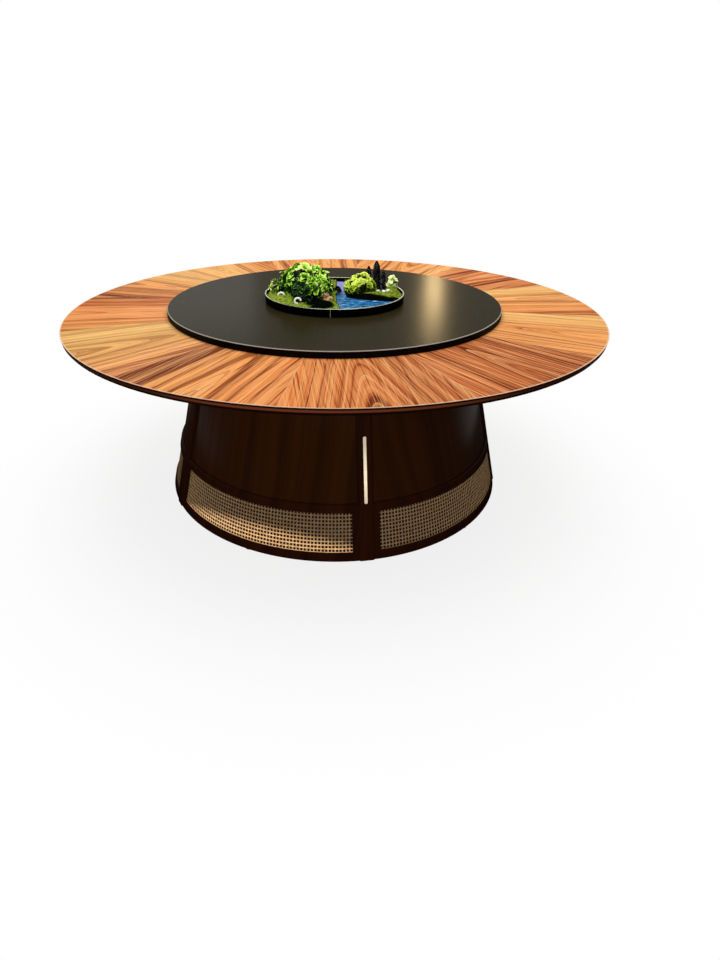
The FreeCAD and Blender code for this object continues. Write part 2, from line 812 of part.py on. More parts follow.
def tray_nodes():
    """The tray and its landscape, each piece cut clear of those under it."""
    banks = list(moss_banks())
    water = basin(water_height).cut(banks)
    ground = banks + [water]
    air = basin(tree_height + spire_height)
    trunk = tree_trunk().cut(ground)
    crown = clump(crown_shares).common(air).cut(ground + [trunk])
    shrubs = [bush.common(air).cut(ground + [crown]) for bush in shrub_groups()]
    rocks = dark_rocks().common(air).cut(ground + [crown] + shrubs)
    loose = stones().cut(ground + [crown, rocks] + shrubs)
    scenery = {
        "moss_banks": group(banks),
        "water": water,
        "tree_trunk": trunk,
        "tree_crown": crown,
        "shrubs": group(shrubs),
        "dark_rocks": rocks,
        "stones": loose,
    }
    nodes = {name: turned(shape, scenery_turn) for name, shape in scenery.items()}
    nodes["tray_pan"] = tray_pan()
    nodes["tray_rim"] = tray_rim()
    return nodes


def shrub_groups():
    """The bush on the right bank, and the two small pale plants."""
    return [clump(bush_shares)] + [clump([plant]) for plant in plant_shares]


os.makedirs("parts", exist_ok=True)
for nodes in (drum_nodes(), top_nodes(), turntable_nodes(), tray_nodes()):
    for name, shape in nodes.items():
        group([shape]).exportStep(f"parts/{name}.step")
        print(name, len(shape.Solids), "solids", round(shape.Volume), "mm3")
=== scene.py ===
# %% [markdown]
# # Finishing a round banquet table
# The table is already built as solid pieces at their real size: a flared drum, a 2.2 m top, a turntable on
# a ring bearing and a tray with a miniature landscape. This lesson gives every piece its finish, and
# remakes the few pieces whose look can't be had from a plain solid: woven cane, leaves, moss, water and
# stone. The solids are loaded first and are never moved, so whatever is added later sits in the same place.

# %% Load the solid model
import math

import bmesh
import bpy
import numpy as np
from mathutils import Euler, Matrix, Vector
from mathutils import noise as solid_noise


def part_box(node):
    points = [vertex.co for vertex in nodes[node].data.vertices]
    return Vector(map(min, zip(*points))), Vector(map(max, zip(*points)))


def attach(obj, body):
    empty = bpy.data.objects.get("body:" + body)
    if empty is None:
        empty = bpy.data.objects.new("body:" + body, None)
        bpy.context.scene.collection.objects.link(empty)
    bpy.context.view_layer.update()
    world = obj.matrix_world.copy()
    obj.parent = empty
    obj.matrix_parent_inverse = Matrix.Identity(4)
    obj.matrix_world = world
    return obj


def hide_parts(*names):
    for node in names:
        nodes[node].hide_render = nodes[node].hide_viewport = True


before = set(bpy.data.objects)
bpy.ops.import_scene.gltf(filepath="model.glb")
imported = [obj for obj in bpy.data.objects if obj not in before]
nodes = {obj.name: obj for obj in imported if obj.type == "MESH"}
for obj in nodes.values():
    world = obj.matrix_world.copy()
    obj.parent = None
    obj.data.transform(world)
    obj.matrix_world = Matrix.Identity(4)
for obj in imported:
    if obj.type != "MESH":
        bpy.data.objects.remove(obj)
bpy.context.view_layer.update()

for plain_colour in list(bpy.data.materials):
    bpy.data.materials.remove(plain_colour)

# %% [markdown]
# ## The view
# The camera stands at sitting-room eye height, a little to the left of the front post, and looks slightly
# down on the table. A lens of about 24 mm on a 36 mm sensor gives the strong perspective of the round top.
# The picture is 720 by 960, and the table sits high in it: that is what the lens shift is for. The shift
# moves the picture without bending it, while tilting the camera would make the drum's sides lean.

# %% Camera
image_width = 720
image_height = 960
principal_x = 334.5
principal_y = 308.5
focal_pixels = 649.0
view_turn = math.radians(-9.7)
view_rise = math.radians(14.56)
view_distance = 2.804
view_dip = math.radians(0.272)
view_roll = math.radians(0.208)

wood_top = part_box("veneer_right")[1].z
towards_camera = Vector((
    math.sin(view_turn) * math.cos(view_rise),
    -math.cos(view_turn) * math.cos(view_rise),
    math.sin(view_rise),
))
camera = bpy.data.objects.new("camera", bpy.data.cameras.new("camera"))
bpy.context.scene.collection.objects.link(camera)
camera.data.lens = focal_pixels * camera.data.sensor_width / image_height
camera.data.shift_x = (image_width / 2 - principal_x) / image_height
camera.data.shift_y = (principal_y - image_height / 2) / image_height
camera.location = Vector((0, 0, wood_top)) + towards_camera * view_distance
camera.rotation_mode = "QUATERNION"
level_aim = (-towards_camera).to_track_quat("-Z", "Y")
camera.rotation_quaternion = level_aim @ Euler((-view_dip, 0, view_roll)).to_quaternion()
bpy.context.scene.camera = camera
print("camera at", tuple(round(v, 3) for v in camera.location), "lens", round(camera.data.lens, 2), "mm")

# %% [markdown]
# ## Small helpers for shader nodes
# A material is a tree of nodes. These helpers add a node with its settings and its inputs in one call, and
# make the sums that the patterns below are built from. An input may be a number, a colour or the output of
# another node.

# %% Node helpers
def add(tree, kind, inputs=None, **settings):
    """A new shader node; each input is a value, or a socket that it is linked from."""
    made = tree.nodes.new(kind)
    for name, value in settings.items():
        setattr(made, name, value)
    for name, value in (inputs or {}).items():
        if isinstance(value, bpy.types.NodeSocket):
            tree.links.new(value, made.inputs[name])
        else:
            made.inputs[name].default_value = value
    return made


def calc(tree, operation, *values):
    """The result of a sum on numbers or sockets."""
    return add(tree, "ShaderNodeMath", dict(enumerate(values)), operation=operation).outputs[0]


def remap(tree, value, low, high, to_low=0.0, to_high=1.0, smooth=True):
    """A value eased from one range to another and held at its ends."""
    kind = "SMOOTHSTEP" if smooth else "LINEAR"
    inputs = {"Value": value, "From Min": low, "From Max": high, "To Min": to_low, "To Max": to_high}
    return add(tree, "ShaderNodeMapRange", inputs, interpolation_type=kind).outputs["Result"]


def vector(tree, x, y, z):
    """A vector from three numbers or sockets."""
    return add(tree, "ShaderNodeCombineXYZ", {"X": x, "Y": y, "Z": z}).outputs["Vector"]


def noise(tree, place, scale, detail=3.0, roughness=0.5):
    """Soft random values from 0 to 1 round a place."""
    inputs = {"Vector": place, "Scale": scale, "Detail": detail, "Roughness": roughness}
    return add(tree, "ShaderNodeTexNoise", inputs).outputs["Fac"]


def blend(tree, share, first, second, kind="MIX"):
    """One colour laid over another by a share from 0 to 1."""
    made = add(tree, "ShaderNodeMix", data_type="RGBA", blend_type=kind)
    colours = [socket for socket in made.inputs if socket.type == "RGBA"]
    for socket, value in zip([made.inputs[0], *colours], (share, first, second)):
        if isinstance(value, bpy.types.NodeSocket):
            tree.links.new(value, socket)
        else:
            socket.default_value = value
    return next(socket for socket in made.outputs if socket.type == "RGBA")


def group(name, inputs, outputs):
    """An empty node group with named sockets, its inputs and its output node."""
    tree = bpy.data.node_groups.new(name, "ShaderNodeTree")
    for label, value in inputs.items():
        kind = "NodeSocketFloat" if isinstance(value, float) else "NodeSocketVector"
        socket = tree.interface.new_socket(label, in_out="INPUT", socket_type=kind)
        socket.default_value = value
    for label, kind in outputs.items():
        tree.interface.new_socket(label, in_out="OUTPUT", socket_type="NodeSocket" + kind)
    given = tree.nodes.new("NodeGroupInput").outputs
    result = tree.nodes.new("NodeGroupOutput").inputs
    print("group", name, "takes", ", ".join(inputs), "and gives", ", ".join(outputs))
    return tree, given, result


def use(tree, name, **inputs):
    """A copy of a node group in a material; spaces in socket names are written as underscores."""
    made = add(tree, "ShaderNodeGroup", node_tree=bpy.data.node_groups[name])
    for label, value in inputs.items():
        socket = made.inputs[label.replace("_", " ")]
        if isinstance(value, bpy.types.NodeSocket):
            tree.links.new(value, socket)
        else:
            socket.default_value = value
    return made.outputs


def srgb(red, green, blue):
    """A colour as it is seen on screen, 0 to 255, in the renderer's linear values."""
    linear = []
    for part in (red, green, blue):
        share = part / 255
        linear.append(share / 12.92 if share <= 0.04045 else ((share + 0.055) / 1.055) ** 2.4)
    return (*linear, 1.0)


def finish(name, **inputs):
    """A material with a Principled shader; returns its tree and the shader."""
    material = bpy.data.materials.new(name)
    material.use_nodes = True
    tree = material.node_tree
    shader = tree.nodes["Principled BSDF"]
    for label, value in inputs.items():
        shader.inputs[label.replace("_", " ")].default_value = value
    print("material", name)
    return tree, shader


def wire(tree, shader, **links):
    """Links sockets to a shader's inputs."""
    for label, socket in links.items():
        tree.links.new(socket, shader.inputs[label.replace("_", " ")])


def give(tree, result, **masks):
    """Links masks to the outputs of a node group."""
    for label, socket in masks.items():
        tree.links.new(socket, result[label])


def own_place(tree):
    """A point in the piece's own space, which moves with it."""
    return add(tree, "ShaderNodeTexCoord").outputs["Object"]


def bumped(tree, height, depth, normal=None):
    """A normal tilted by a height from 0 to 1 that stands for a depth in metres."""
    inputs = {"Height": height, "Distance": depth, "Strength": 1.0}
    if normal is not None:
        inputs["Normal"] = normal
    return add(tree, "ShaderNodeBump", inputs).outputs["Normal"]


def times(tree, first, second):
    """The product of two vectors, part by part."""
    return add(tree, "ShaderNodeVectorMath", {0: first, 1: second}, operation="MULTIPLY").outputs["Vector"]


def upward(tree):
    """How far the surface faces up: one on top, nought on a wall."""
    facing = add(tree, "ShaderNodeNewGeometry").outputs["Normal"]
    return add(tree, "ShaderNodeSeparateXYZ", {"Vector": facing}).outputs["Z"]


def tone_ramp(tree, share, stops):
    """A colour ramp from stops that are each a position from 0 to 1 and a colour."""
    made = add(tree, "ShaderNodeValToRGB", {"Fac": share})
    elements = made.color_ramp.elements
    for index, (position, colour) in enumerate(stops):
        stop = elements[index] if index < len(elements) else elements.new(position)
        stop.position = position
        stop.color = colour
    return made.outputs


# %% [markdown]
# ## Round the table
# Almost everything here is round: veneer, drum, turntable and tray. A group that turns a place into an
# angle about the middle, a radius and a height lets one pattern follow them all. It could be done in each
# material, but then a mistake would have to be mended many times.

# %% Group: place round the table
tree, given, result = group(
    "round_place",
    {"Place": (0, 0, 0)},
    {"Turn": "Float", "Radius": "Float", "Height": "Float", "Girth": "Float"},
)
parts = add(tree, "ShaderNodeSeparateXYZ", {"Vector": given["Place"]}).outputs
turn = calc(tree, "ARCTAN2", parts["X"], calc(tree, "MULTIPLY", parts["Y"], -1.0))
square = calc(tree, "ADD", calc(tree, "POWER", parts["X"], 2.0), calc(tree, "POWER", parts["Y"], 2.0))
radius = calc(tree, "SQRT", square)
girth = calc(tree, "MULTIPLY", turn, radius)
give(tree, result, Turn=turn, Radius=radius, Height=parts["Z"], Girth=girth)

# %% [markdown]
# ## Wood figure
# Sliced walnut shows its growth rings as stripes where the knife runs along them and as nested arches where
# it crosses them. Both come from one sum: the distance from the tree's heart, which lies a little under the
# sheet and is slightly tilted to it. Each leaf of veneer gets its own heart from a random number, so some
# leaves are striped and some arched. Long thin noise adds the fibres, and a threshold of finer noise the
# open pores. The group gives these as masks from 0 to 1, and each wood decides how strongly it shows them
# and in which colours.

# %% Group: wood figure
heart_depths = (0.02, 0.06)
heart_tilts = (-0.16, -0.05)
ring_shares = (0.75, 1.6)
leaf_apart = 7.31
warp_scale = (4.0, 1.0)
fibre_scale = (150.0, 3.0)
pore_scale = (1100.0, 46.0)
line_sharpness = 4.0
glint_sharpness = 11.0
glint_pace = 0.41


def along_grain(tree, given, scale, shift):
    """A place for noise that is squeezed across the grain and drawn out along it."""
    across = calc(tree, "MULTIPLY", given["Across"], scale[0])
    along = calc(tree, "MULTIPLY", given["Along"], scale[1])
    return vector(tree, across, along, shift)


tree, given, result = group(
    "wood_figure",
    {"Across": 0.0, "Along": 0.0, "Leaf": 0.0, "Ring Spacing": 0.012, "Heart Spread": 0.12, "Waviness": 0.02},
    {"Lines": "Float", "Glints": "Float", "Bands": "Float", "Fibres": "Float", "Pores": "Float"},
)
dice = add(tree, "ShaderNodeTexWhiteNoise", {"W": given["Leaf"]}, noise_dimensions="1D").outputs
chance = add(tree, "ShaderNodeSeparateColor", {"Color": dice["Color"]}).outputs
heart = calc(tree, "MULTIPLY", calc(tree, "SUBTRACT", chance["Red"], 0.5), given["Heart Spread"])
heart = calc(tree, "MULTIPLY", heart, 2.0)
depth = remap(tree, chance["Green"], 0.0, 1.0, *heart_depths, smooth=False)
tilt = remap(tree, chance["Blue"], 0.0, 1.0, *heart_tilts, smooth=False)
leaf_shift = calc(tree, "MULTIPLY", given["Leaf"], leaf_apart)
warp = calc(tree, "SUBTRACT", noise(tree, along_grain(tree, given, warp_scale, leaf_shift), 2.2, 2.0), 0.5)
warp = calc(tree, "MULTIPLY", warp, given["Waviness"])
offset = calc(tree, "SUBTRACT", given["Across"], heart)
heart_distance = calc(
    tree, "SQRT", calc(tree, "ADD", calc(tree, "POWER", offset, 2.0), calc(tree, "POWER", depth, 2.0))
)
grown = calc(tree, "ADD", heart_distance, calc(tree, "MULTIPLY", given["Along"], tilt))
ring_share = remap(tree, dice["Value"], 0.0, 1.0, *ring_shares, smooth=False)
spacing = calc(tree, "MULTIPLY", given["Ring Spacing"], ring_share)
years = calc(tree, "DIVIDE", calc(tree, "ADD", grown, warp), spacing)
uneven = remap(tree, noise(tree, vector(tree, years, leaf_shift, 5.0), 0.3, 2.0), 0.42, 0.66)
late_wood = calc(tree, "POWER", calc(tree, "FRACT", years), line_sharpness)
late_wood = calc(tree, "MULTIPLY", late_wood, uneven)
glint_years = calc(tree, "MULTIPLY_ADD", years, glint_pace, 0.3)
glints = calc(tree, "POWER", calc(tree, "FRACT", glint_years), glint_sharpness)
bands = noise(tree, vector(tree, years, leaf_shift, 0.0), 0.4, 4.0, 0.66)
fibres = noise(tree, along_grain(tree, given, fibre_scale, leaf_shift), 1.0, 4.0, 0.6)
pores = remap(tree, noise(tree, along_grain(tree, given, pore_scale, leaf_shift), 1.0, 1.0), 0.6, 0.74)
give(tree, result, Lines=late_wood, Glints=glints, Bands=bands, Fibres=fibres, Pores=pores)

# %% [markdown]
# ## Eased edges
# No real edge is perfectly sharp. The Bevel node finds the edges of a solid and rounds the light over them,
# which a modifier would do only by changing the mesh. Its normal, set against the true one, also gives a
# mask of the edges, where stain and lacquer wear thin.

# %% Group: eased edge
tree, given, result = group("eased_edge", {"Ease": 0.001}, {"Normal": "Vector", "Edge": "Float"})
rounded = add(tree, "ShaderNodeBevel", {"Radius": given["Ease"]}, samples=4).outputs["Normal"]
true_normal = add(tree, "ShaderNodeNewGeometry").outputs["Normal"]
likeness = add(tree, "ShaderNodeVectorMath", {0: rounded, 1: true_normal}, operation="DOT_PRODUCT")
turned = calc(tree, "SUBTRACT", 1.0, likeness.outputs["Value"])
give(tree, result, Normal=rounded, Edge=remap(tree, turned, 0.01, 0.2))

# %% [markdown]
# ## Handling marks
# A table that is used is never evenly glossy: wiping leaves broad, faint changes of gloss, fine specks stay
# behind, and a little dust lies on what faces up. One group makes all three masks from noise, and its size
# is set to suit each finish. Painted marks would look as good on one piece, but noise needs no unwrapping
# and covers sixty pieces alike.

# %% Group: handling marks
tree, given, result = group(
    "handling_marks",
    {"Place": (0, 0, 0), "Size": 0.2},
    {"Smudge": "Float", "Dust": "Float", "Speck": "Float"},
)
shrink = {0: given["Place"], "Scale": calc(tree, "DIVIDE", 1.0, given["Size"])}
scaled = add(tree, "ShaderNodeVectorMath", shrink, operation="SCALE").outputs["Vector"]
smudge = remap(tree, noise(tree, scaled, 1.0, 4.0, 0.6), 0.35, 0.7)
speck = remap(tree, noise(tree, scaled, 60.0, 2.0), 0.62, 0.72)
dust = calc(tree, "MULTIPLY", remap(tree, upward(tree), 0.6, 1.0), speck)
give(tree, result, Smudge=smudge, Dust=dust, Speck=speck)

# %% [markdown]
# ## Dressing the solids
# A solid whose shape is right keeps its mesh and only gets a material. This helper puts one on every node
# that a name pattern matches.

# %% Dress helper
def dress(material_name, *names):
    """Gives a material to the named CAD pieces; a name that ends in _ stands for all that start with it."""
    material = bpy.data.materials[material_name]
    families = tuple(name for name in names if name.endswith("_"))
    chosen = [node for node in nodes if node in names or node.startswith(families)]
    for node in chosen:
        for slot in nodes[node].material_slots:
            slot.material = material
    print(material_name, "on", len(chosen), "pieces")


# %% [markdown]
# ## Walnut sunburst
# The top is laid in twelve wedges of walnut veneer. In each the grain runs straight out along the wedge's
# middle, so it meets the next wedge in a row of Vs, and thin light lines show at some of the seams. The
# wedges come from different flitches: dark brown, orange, golden and pale ones stand side by side. Part of
# their difference is painted light: the wedges at the left and the back are set paler, and those at the
# front darker and more saturated, as the light falls on the top. A colour ramp that runs once round the
# table holds their tones, with two stops close together wherever one wedge ends and the next begins. A
# picture wrapped on each wedge would repeat itself; sums of the angle and the radius never do.
#
# Each tone has a colour and a strength. Dark flitches have bold grain and pale ones faint grain, so the
# strength rides in the ramp's alpha, and every dark line of the figure is multiplied by it.

# %% Walnut tones, in degrees round the table from the first seam
# Part of these tones is painted light: the wedges at the left and back are paler, those at the front darker.
tones = {
    "umber": (srgb(140, 64, 34), 0.8),
    "brown": (srgb(186, 98, 54), 1.0),
    "russet": (srgb(216, 120, 68), 1.0),
    "orange": (srgb(240, 142, 76), 0.9),
    "rose": (srgb(255, 176, 116), 0.7),
    "honey": (srgb(254, 172, 98), 0.8),
    "golden": (srgb(255, 196, 118), 0.6),
    "pale": (srgb(255, 208, 128), 0.45),
}
tone_stops = (
    (0, "russet"), (16, "brown"), (29.8, "brown"),
    (30.2, "honey"), (45, "honey"), (59.8, "pale"),
    (60.2, "orange"), (75, "honey"), (89.8, "pale"),
    (90.2, "russet"), (119.8, "russet"),
    (120.2, "honey"), (149.8, "honey"),
    (150.2, "honey"), (179.8, "honey"),
    (180.2, "orange"), (195, "golden"), (209.8, "golden"),
    (210.2, "pale"), (225, "honey"), (239.8, "brown"),
    (240.2, "russet"), (255, "orange"), (269.8, "honey"),
    (270.2, "pale"), (285, "golden"), (299.8, "rose"),
    (300.2, "umber"), (306.5, "umber"), (308.5, "honey"),
    (330.2, "orange"), (359.8, "brown"),
)
wedge_turn = math.radians(30)
first_seam = math.radians(12.1)
print("tone stops:", len(tone_stops))

# %% [markdown]
# ## Walnut veneer
# The veneer is satin lacquered and laid so well that its seams are hairlines. Inside each wedge the place
# is measured across and along its middle line, and goes to the wood figure with the wedge's number as the
# leaf. The masks that come back are laid over the tone: bands and late wood darken it, fibres streak it,
# and glints and pores are fine light and dark lines. Last come the pale seams and a painted highlight, a
# pale line along the arris at the rim. The plain specular level is nought and a thin coat shines instead,
# so that the white studio doesn't wash the colour out.

# %% Material: walnut veneer
top_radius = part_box("edge_lipping_right")[1].x
seam_half_width = 0.0006
seam_fade = 0.0009
rim_highlight_width = 0.0042
rim_highlight_fade = 0.0008
pore_depth = 0.00012
light_grain = srgb(255, 190, 124)
grain_shade = srgb(148, 104, 76)
tree, shader = finish("walnut_veneer", Specular_IOR_Level=0.0, Coat_Weight=0.05, Coat_Roughness=0.3)
place = own_place(tree)
round_place = use(tree, "round_place", Place=place)
from_seam = calc(tree, "SUBTRACT", round_place["Turn"], first_seam)
from_seam = calc(tree, "WRAP", from_seam, 2 * math.pi, 0.0)
round_stops = []
for degrees, tone in tone_stops:
    tone_colour, grain_strength = tones[tone]
    round_stops.append((degrees / 360, (*tone_colour[:3], grain_strength)))
ramp = tone_ramp(tree, calc(tree, "DIVIDE", from_seam, 2 * math.pi), round_stops)
strength = ramp["Alpha"]
wedge = calc(tree, "FLOOR", calc(tree, "DIVIDE", from_seam, wedge_turn))
inside = calc(tree, "SUBTRACT", from_seam, calc(tree, "MULTIPLY_ADD", wedge, wedge_turn, wedge_turn / 2))
across = calc(tree, "MULTIPLY", calc(tree, "SINE", inside), round_place["Radius"])
along = calc(tree, "MULTIPLY", calc(tree, "COSINE", inside), round_place["Radius"])
figure = use(
    tree,
    "wood_figure",
    Across=across,
    Along=along,
    Leaf=wedge,
    Ring_Spacing=0.012,
    Heart_Spread=0.045,
    Waviness=0.02,
)
colour = blend(tree, remap(tree, figure["Bands"], 0.5, 0.38, 0.0, 0.5), ramp["Color"], light_grain)
banding = calc(tree, "MULTIPLY", remap(tree, figure["Bands"], 0.48, 0.6), strength)
colour = blend(tree, banding, colour, grain_shade, "MULTIPLY")
late_wood = calc(tree, "MULTIPLY", calc(tree, "MULTIPLY", figure["Lines"], 0.95), strength)
colour = blend(tree, late_wood, colour, grain_shade, "MULTIPLY")
streaks = calc(tree, "MULTIPLY", remap(tree, figure["Fibres"], 0.52, 0.68, 0.0, 0.9), strength)
colour = blend(tree, streaks, colour, grain_shade, "MULTIPLY")
colour = blend(tree, remap(tree, figure["Fibres"], 0.48, 0.34, 0.0, 0.5), colour, light_grain)
colour = blend(tree, calc(tree, "MULTIPLY", figure["Glints"], 0.7), colour, light_grain)
colour = blend(tree, calc(tree, "MULTIPLY", figure["Pores"], 0.25), colour, srgb(84, 38, 18))
seam_distance = calc(tree, "PINGPONG", from_seam, wedge_turn / 2)
seam_distance = calc(tree, "MULTIPLY", seam_distance, round_place["Radius"])
seam = remap(tree, seam_distance, seam_half_width, seam_half_width + seam_fade, 0.4, 0.0)
colour = blend(tree, seam, colour, srgb(255, 216, 170))
# Painted highlight: a pale line along the arris at the rim.
rim_highlight_start = top_radius - rim_highlight_width
painted_rim_highlight = remap(tree, round_place["Radius"], rim_highlight_start, rim_highlight_start + rim_highlight_fade)
colour = blend(tree, calc(tree, "MULTIPLY", painted_rim_highlight, 0.85), colour, srgb(254, 212, 180))
marks = use(tree, "handling_marks", Place=place, Size=0.35)
gloss = remap(tree, marks["Smudge"], 0.0, 1.0, 0.36, 0.46)
wire(tree, shader, Base_Color=colour, Roughness=gloss, Normal=bumped(tree, figure["Pores"], -pore_depth))
dress("walnut_veneer", "veneer_")

# %% [markdown]
# ## Dark stained wood
# The drum is stained so dark that its grain only shows where the light grazes it. The same figure group
# serves, with the grain upright: across is the girth round the drum and along is the height. Each of the
# five bays is cut from its own leaf, which starts at the middle of a post, and its girth is measured from
# the bay's middle. Measured right round the table, the girth would jump where the angle starts again, and
# the grain would break there.

# %% Material maker: stained wood
bay_turn = math.radians(72)


def stained_wood(name, deep, light, spacing, gloss, coat, coat_gloss=0.3, upright=True):
    """A dark stained and lacquered wood; upright grain follows the height, level grain the girth."""
    tree, shader = finish(name, Specular_IOR_Level=0.0, Coat_Weight=coat, Coat_Roughness=coat_gloss)
    place = own_place(tree)
    round_place = use(tree, "round_place", Place=place)
    bay_seam = calc(tree, "WRAP", round_place["Turn"], 3 * bay_turn, -2 * bay_turn)
    leaf = calc(tree, "FLOOR", calc(tree, "DIVIDE", bay_seam, bay_turn))
    from_middle = calc(tree, "SUBTRACT", bay_seam, calc(tree, "MULTIPLY_ADD", leaf, bay_turn, bay_turn / 2))
    girth = calc(tree, "MULTIPLY", from_middle, round_place["Radius"])
    height = round_place["Height"]
    across, along = (girth, height) if upright else (height, girth)
    figure = use(
        tree,
        "wood_figure",
        Across=across,
        Along=along,
        Leaf=leaf,
        Ring_Spacing=spacing,
        Heart_Spread=0.4,
        Waviness=0.05,
    )
    ease = use(tree, "eased_edge", Ease=0.0012)
    colour = blend(tree, remap(tree, figure["Bands"], 0.3, 0.7), light, deep)
    colour = blend(tree, remap(tree, figure["Fibres"], 0.5, 0.75, 0.0, 0.5), colour, light)
    colour = blend(tree, calc(tree, "MULTIPLY", ease["Edge"], 0.25), colour, srgb(70, 44, 30))
    marks = use(tree, "handling_marks", Place=place, Size=0.25)
    roughness = remap(tree, marks["Smudge"], 0.0, 1.0, gloss - 0.05, gloss + 0.08)
    normal = bumped(tree, figure["Pores"], -0.0001, ease["Normal"])
    wire(tree, shader, Base_Color=colour, Roughness=roughness, Normal=normal)
    return tree, shader, round_place, colour


# %% Materials: drum frame and panels
stained_wood("stained_wood", srgb(42, 18, 7), srgb(60, 28, 12), spacing=0.03, gloss=0.36, coat=0.05)
stained_wood(
    "panel_veneer", srgb(46, 22, 4), srgb(68, 33, 8), spacing=0.03, gloss=0.34, coat=0.14, coat_gloss=0.14
)
dress("stained_wood", "post_", "middle_rail_", "bottom_rail_", "cane_stiles", "corner_blocks")
dress("stained_wood", "drum_top_ring", "drum_floor_ring")
dress("panel_veneer", "upper_panel_")

# %% [markdown]
# ## Edge lipping
# The lipping round the top is the darkest wood of all, with its grain running round. Towards the front its
# upper face shows a warm reddish band of painted light, where the face catches the light. The band is a
# mask of the height, soft at both ends, and fades with the angle from the place where it is painted
# brightest. A separate strip of paint on the mesh would do the same, but would have a hard outline.

# %% Material: edge lipping with a painted band of light
band_low = 0.7450
band_high = 0.7530
band_blur = 0.0012
lit_band_turn = math.radians(-9.7)
lit_band_half = math.radians(14)
lit_band_end = math.radians(34)
tree, shader, round_place, colour = stained_wood(
    "edge_wood", srgb(22, 8, 4), srgb(38, 16, 9), spacing=0.007, gloss=0.34, coat=0.03, upright=False
)
# Painted light: a warm band on the face of the lipping, brightest at the front, fading towards the sides.
above = remap(tree, round_place["Height"], band_low - band_blur, band_low + band_blur)
below = remap(tree, round_place["Height"], band_high + band_blur, band_high - band_blur)
from_lit_band = calc(tree, "ABSOLUTE", calc(tree, "SUBTRACT", round_place["Turn"], lit_band_turn))
lit_band_fade = remap(tree, from_lit_band, lit_band_half, lit_band_end, 1.0, 0.25)
painted_light_band = calc(tree, "MULTIPLY", calc(tree, "MULTIPLY", above, below), lit_band_fade)
wire(tree, shader, Base_Color=blend(tree, painted_light_band, colour, srgb(132, 68, 40)))
dress("edge_wood", "edge_lipping_")

# %% [markdown]
# ## Brass, steel and aluminium
# The strip on the front post is satin brass, brushed along its length. Brushing is thin noise that is
# stretched along the strip, both in the gloss and in the bump. The solid strip is a little wider than the
# bright face of the real one, so beyond bright_half from its middle it is as dark as the post. The screws
# and plates are zinc plated, and the races, the balls and the tray's rim are turned: the same noise,
# squeezed along other axes, draws their lines.

# %% Material maker: brushed metal
bright_blur = 0.0004
brush_depth = 0.00002


def brushed_metal(name, colour, worn, gloss, squash, bright_half=0.0):
    """A metal brushed along the axis with the small scale in squash, and dull beyond bright_half if given."""
    tree, shader = finish(name, Metallic=1.0, Roughness=gloss, Anisotropic=0.3)
    place = own_place(tree)
    lines = noise(tree, times(tree, place, squash), 1.0, 2.0)
    marks = use(tree, "handling_marks", Place=place, Size=0.03)
    ease = use(tree, "eased_edge", Ease=0.0005)
    tint = blend(tree, calc(tree, "MULTIPLY", marks["Smudge"], 0.5), colour, worn)
    tint = blend(tree, calc(tree, "MULTIPLY", ease["Edge"], 0.5), tint, srgb(255, 246, 226))
    if bright_half:
        beside = calc(tree, "ABSOLUTE", use(tree, "round_place", Place=place)["Girth"])
        shaded = remap(tree, beside, bright_half - bright_blur, bright_half + bright_blur)
        tint = blend(tree, shaded, tint, srgb(40, 24, 14))
    roughness = calc(tree, "MULTIPLY_ADD", lines, 0.16, gloss - 0.08)
    normal = bumped(tree, lines, brush_depth, ease["Normal"])
    wire(tree, shader, Base_Color=tint, Roughness=roughness, Normal=normal)


# %% Materials: metals
brass_scale = (2600.0, 2600.0, 30.0)
brushed_metal("satin_brass", srgb(244, 228, 204), srgb(226, 204, 172), 0.34, brass_scale, bright_half=0.0057)
brushed_metal("zinc_steel", srgb(196, 198, 200), srgb(150, 152, 156), 0.35, (900.0, 900.0, 900.0))
brushed_metal("turned_aluminium", srgb(205, 206, 208), srgb(180, 181, 184), 0.28, (40.0, 40.0, 2500.0))
# The rim's greenish cast is partly its pale metal and partly a painted reflection of the green landscape.
brushed_metal("tray_edge", srgb(176, 178, 150), srgb(112, 118, 92), 0.25, (60.0, 60.0, 2500.0))
brushed_metal("bearing_steel", srgb(214, 216, 220), srgb(190, 192, 196), 0.12, (300.0, 300.0, 300.0))
dress("satin_brass", "brass_strips")
dress("zinc_steel", "wood_screws", "race_screws_", "leaf_connectors")
dress("turned_aluminium", "bearing_lower_race", "bearing_upper_race")
dress("tray_edge", "tray_rim")
dress("bearing_steel", "bearing_balls")

# %% [markdown]
# ## Raw boards and moulded plastic
# The core of the top is raw fibreboard and the beams are planed pine, seen only from below. The feet and
# the ball cage are moulded plastic. All are plain stuffs: two near colours in soft specks, a slight relief
# and some dust, so one maker serves them with other sizes and colours.

# %% Material maker: raw board and moulded plastic
def plain_stuff(name, colour, second, size, gloss, grain):
    """A matt or moulded stuff whose two colours mix in soft specks; grain is the relief in metres."""
    tree, shader = finish(name, Roughness=gloss, Specular_IOR_Level=0.3)
    place = own_place(tree)
    marks = use(tree, "handling_marks", Place=place, Size=size)
    ease = use(tree, "eased_edge", Ease=0.0008)
    speckle = noise(tree, place, 4.0 / size, 4.0, 0.65)
    tint = blend(tree, remap(tree, speckle, 0.35, 0.7), colour, second)
    tint = blend(tree, calc(tree, "MULTIPLY", marks["Dust"], 0.3), tint, srgb(170, 164, 154))
    roughness = remap(tree, marks["Smudge"], 0.0, 1.0, gloss - 0.06, gloss + 0.06)
    normal = bumped(tree, speckle, grain, ease["Normal"])
    wire(tree, shader, Base_Color=tint, Roughness=roughness, Normal=normal)


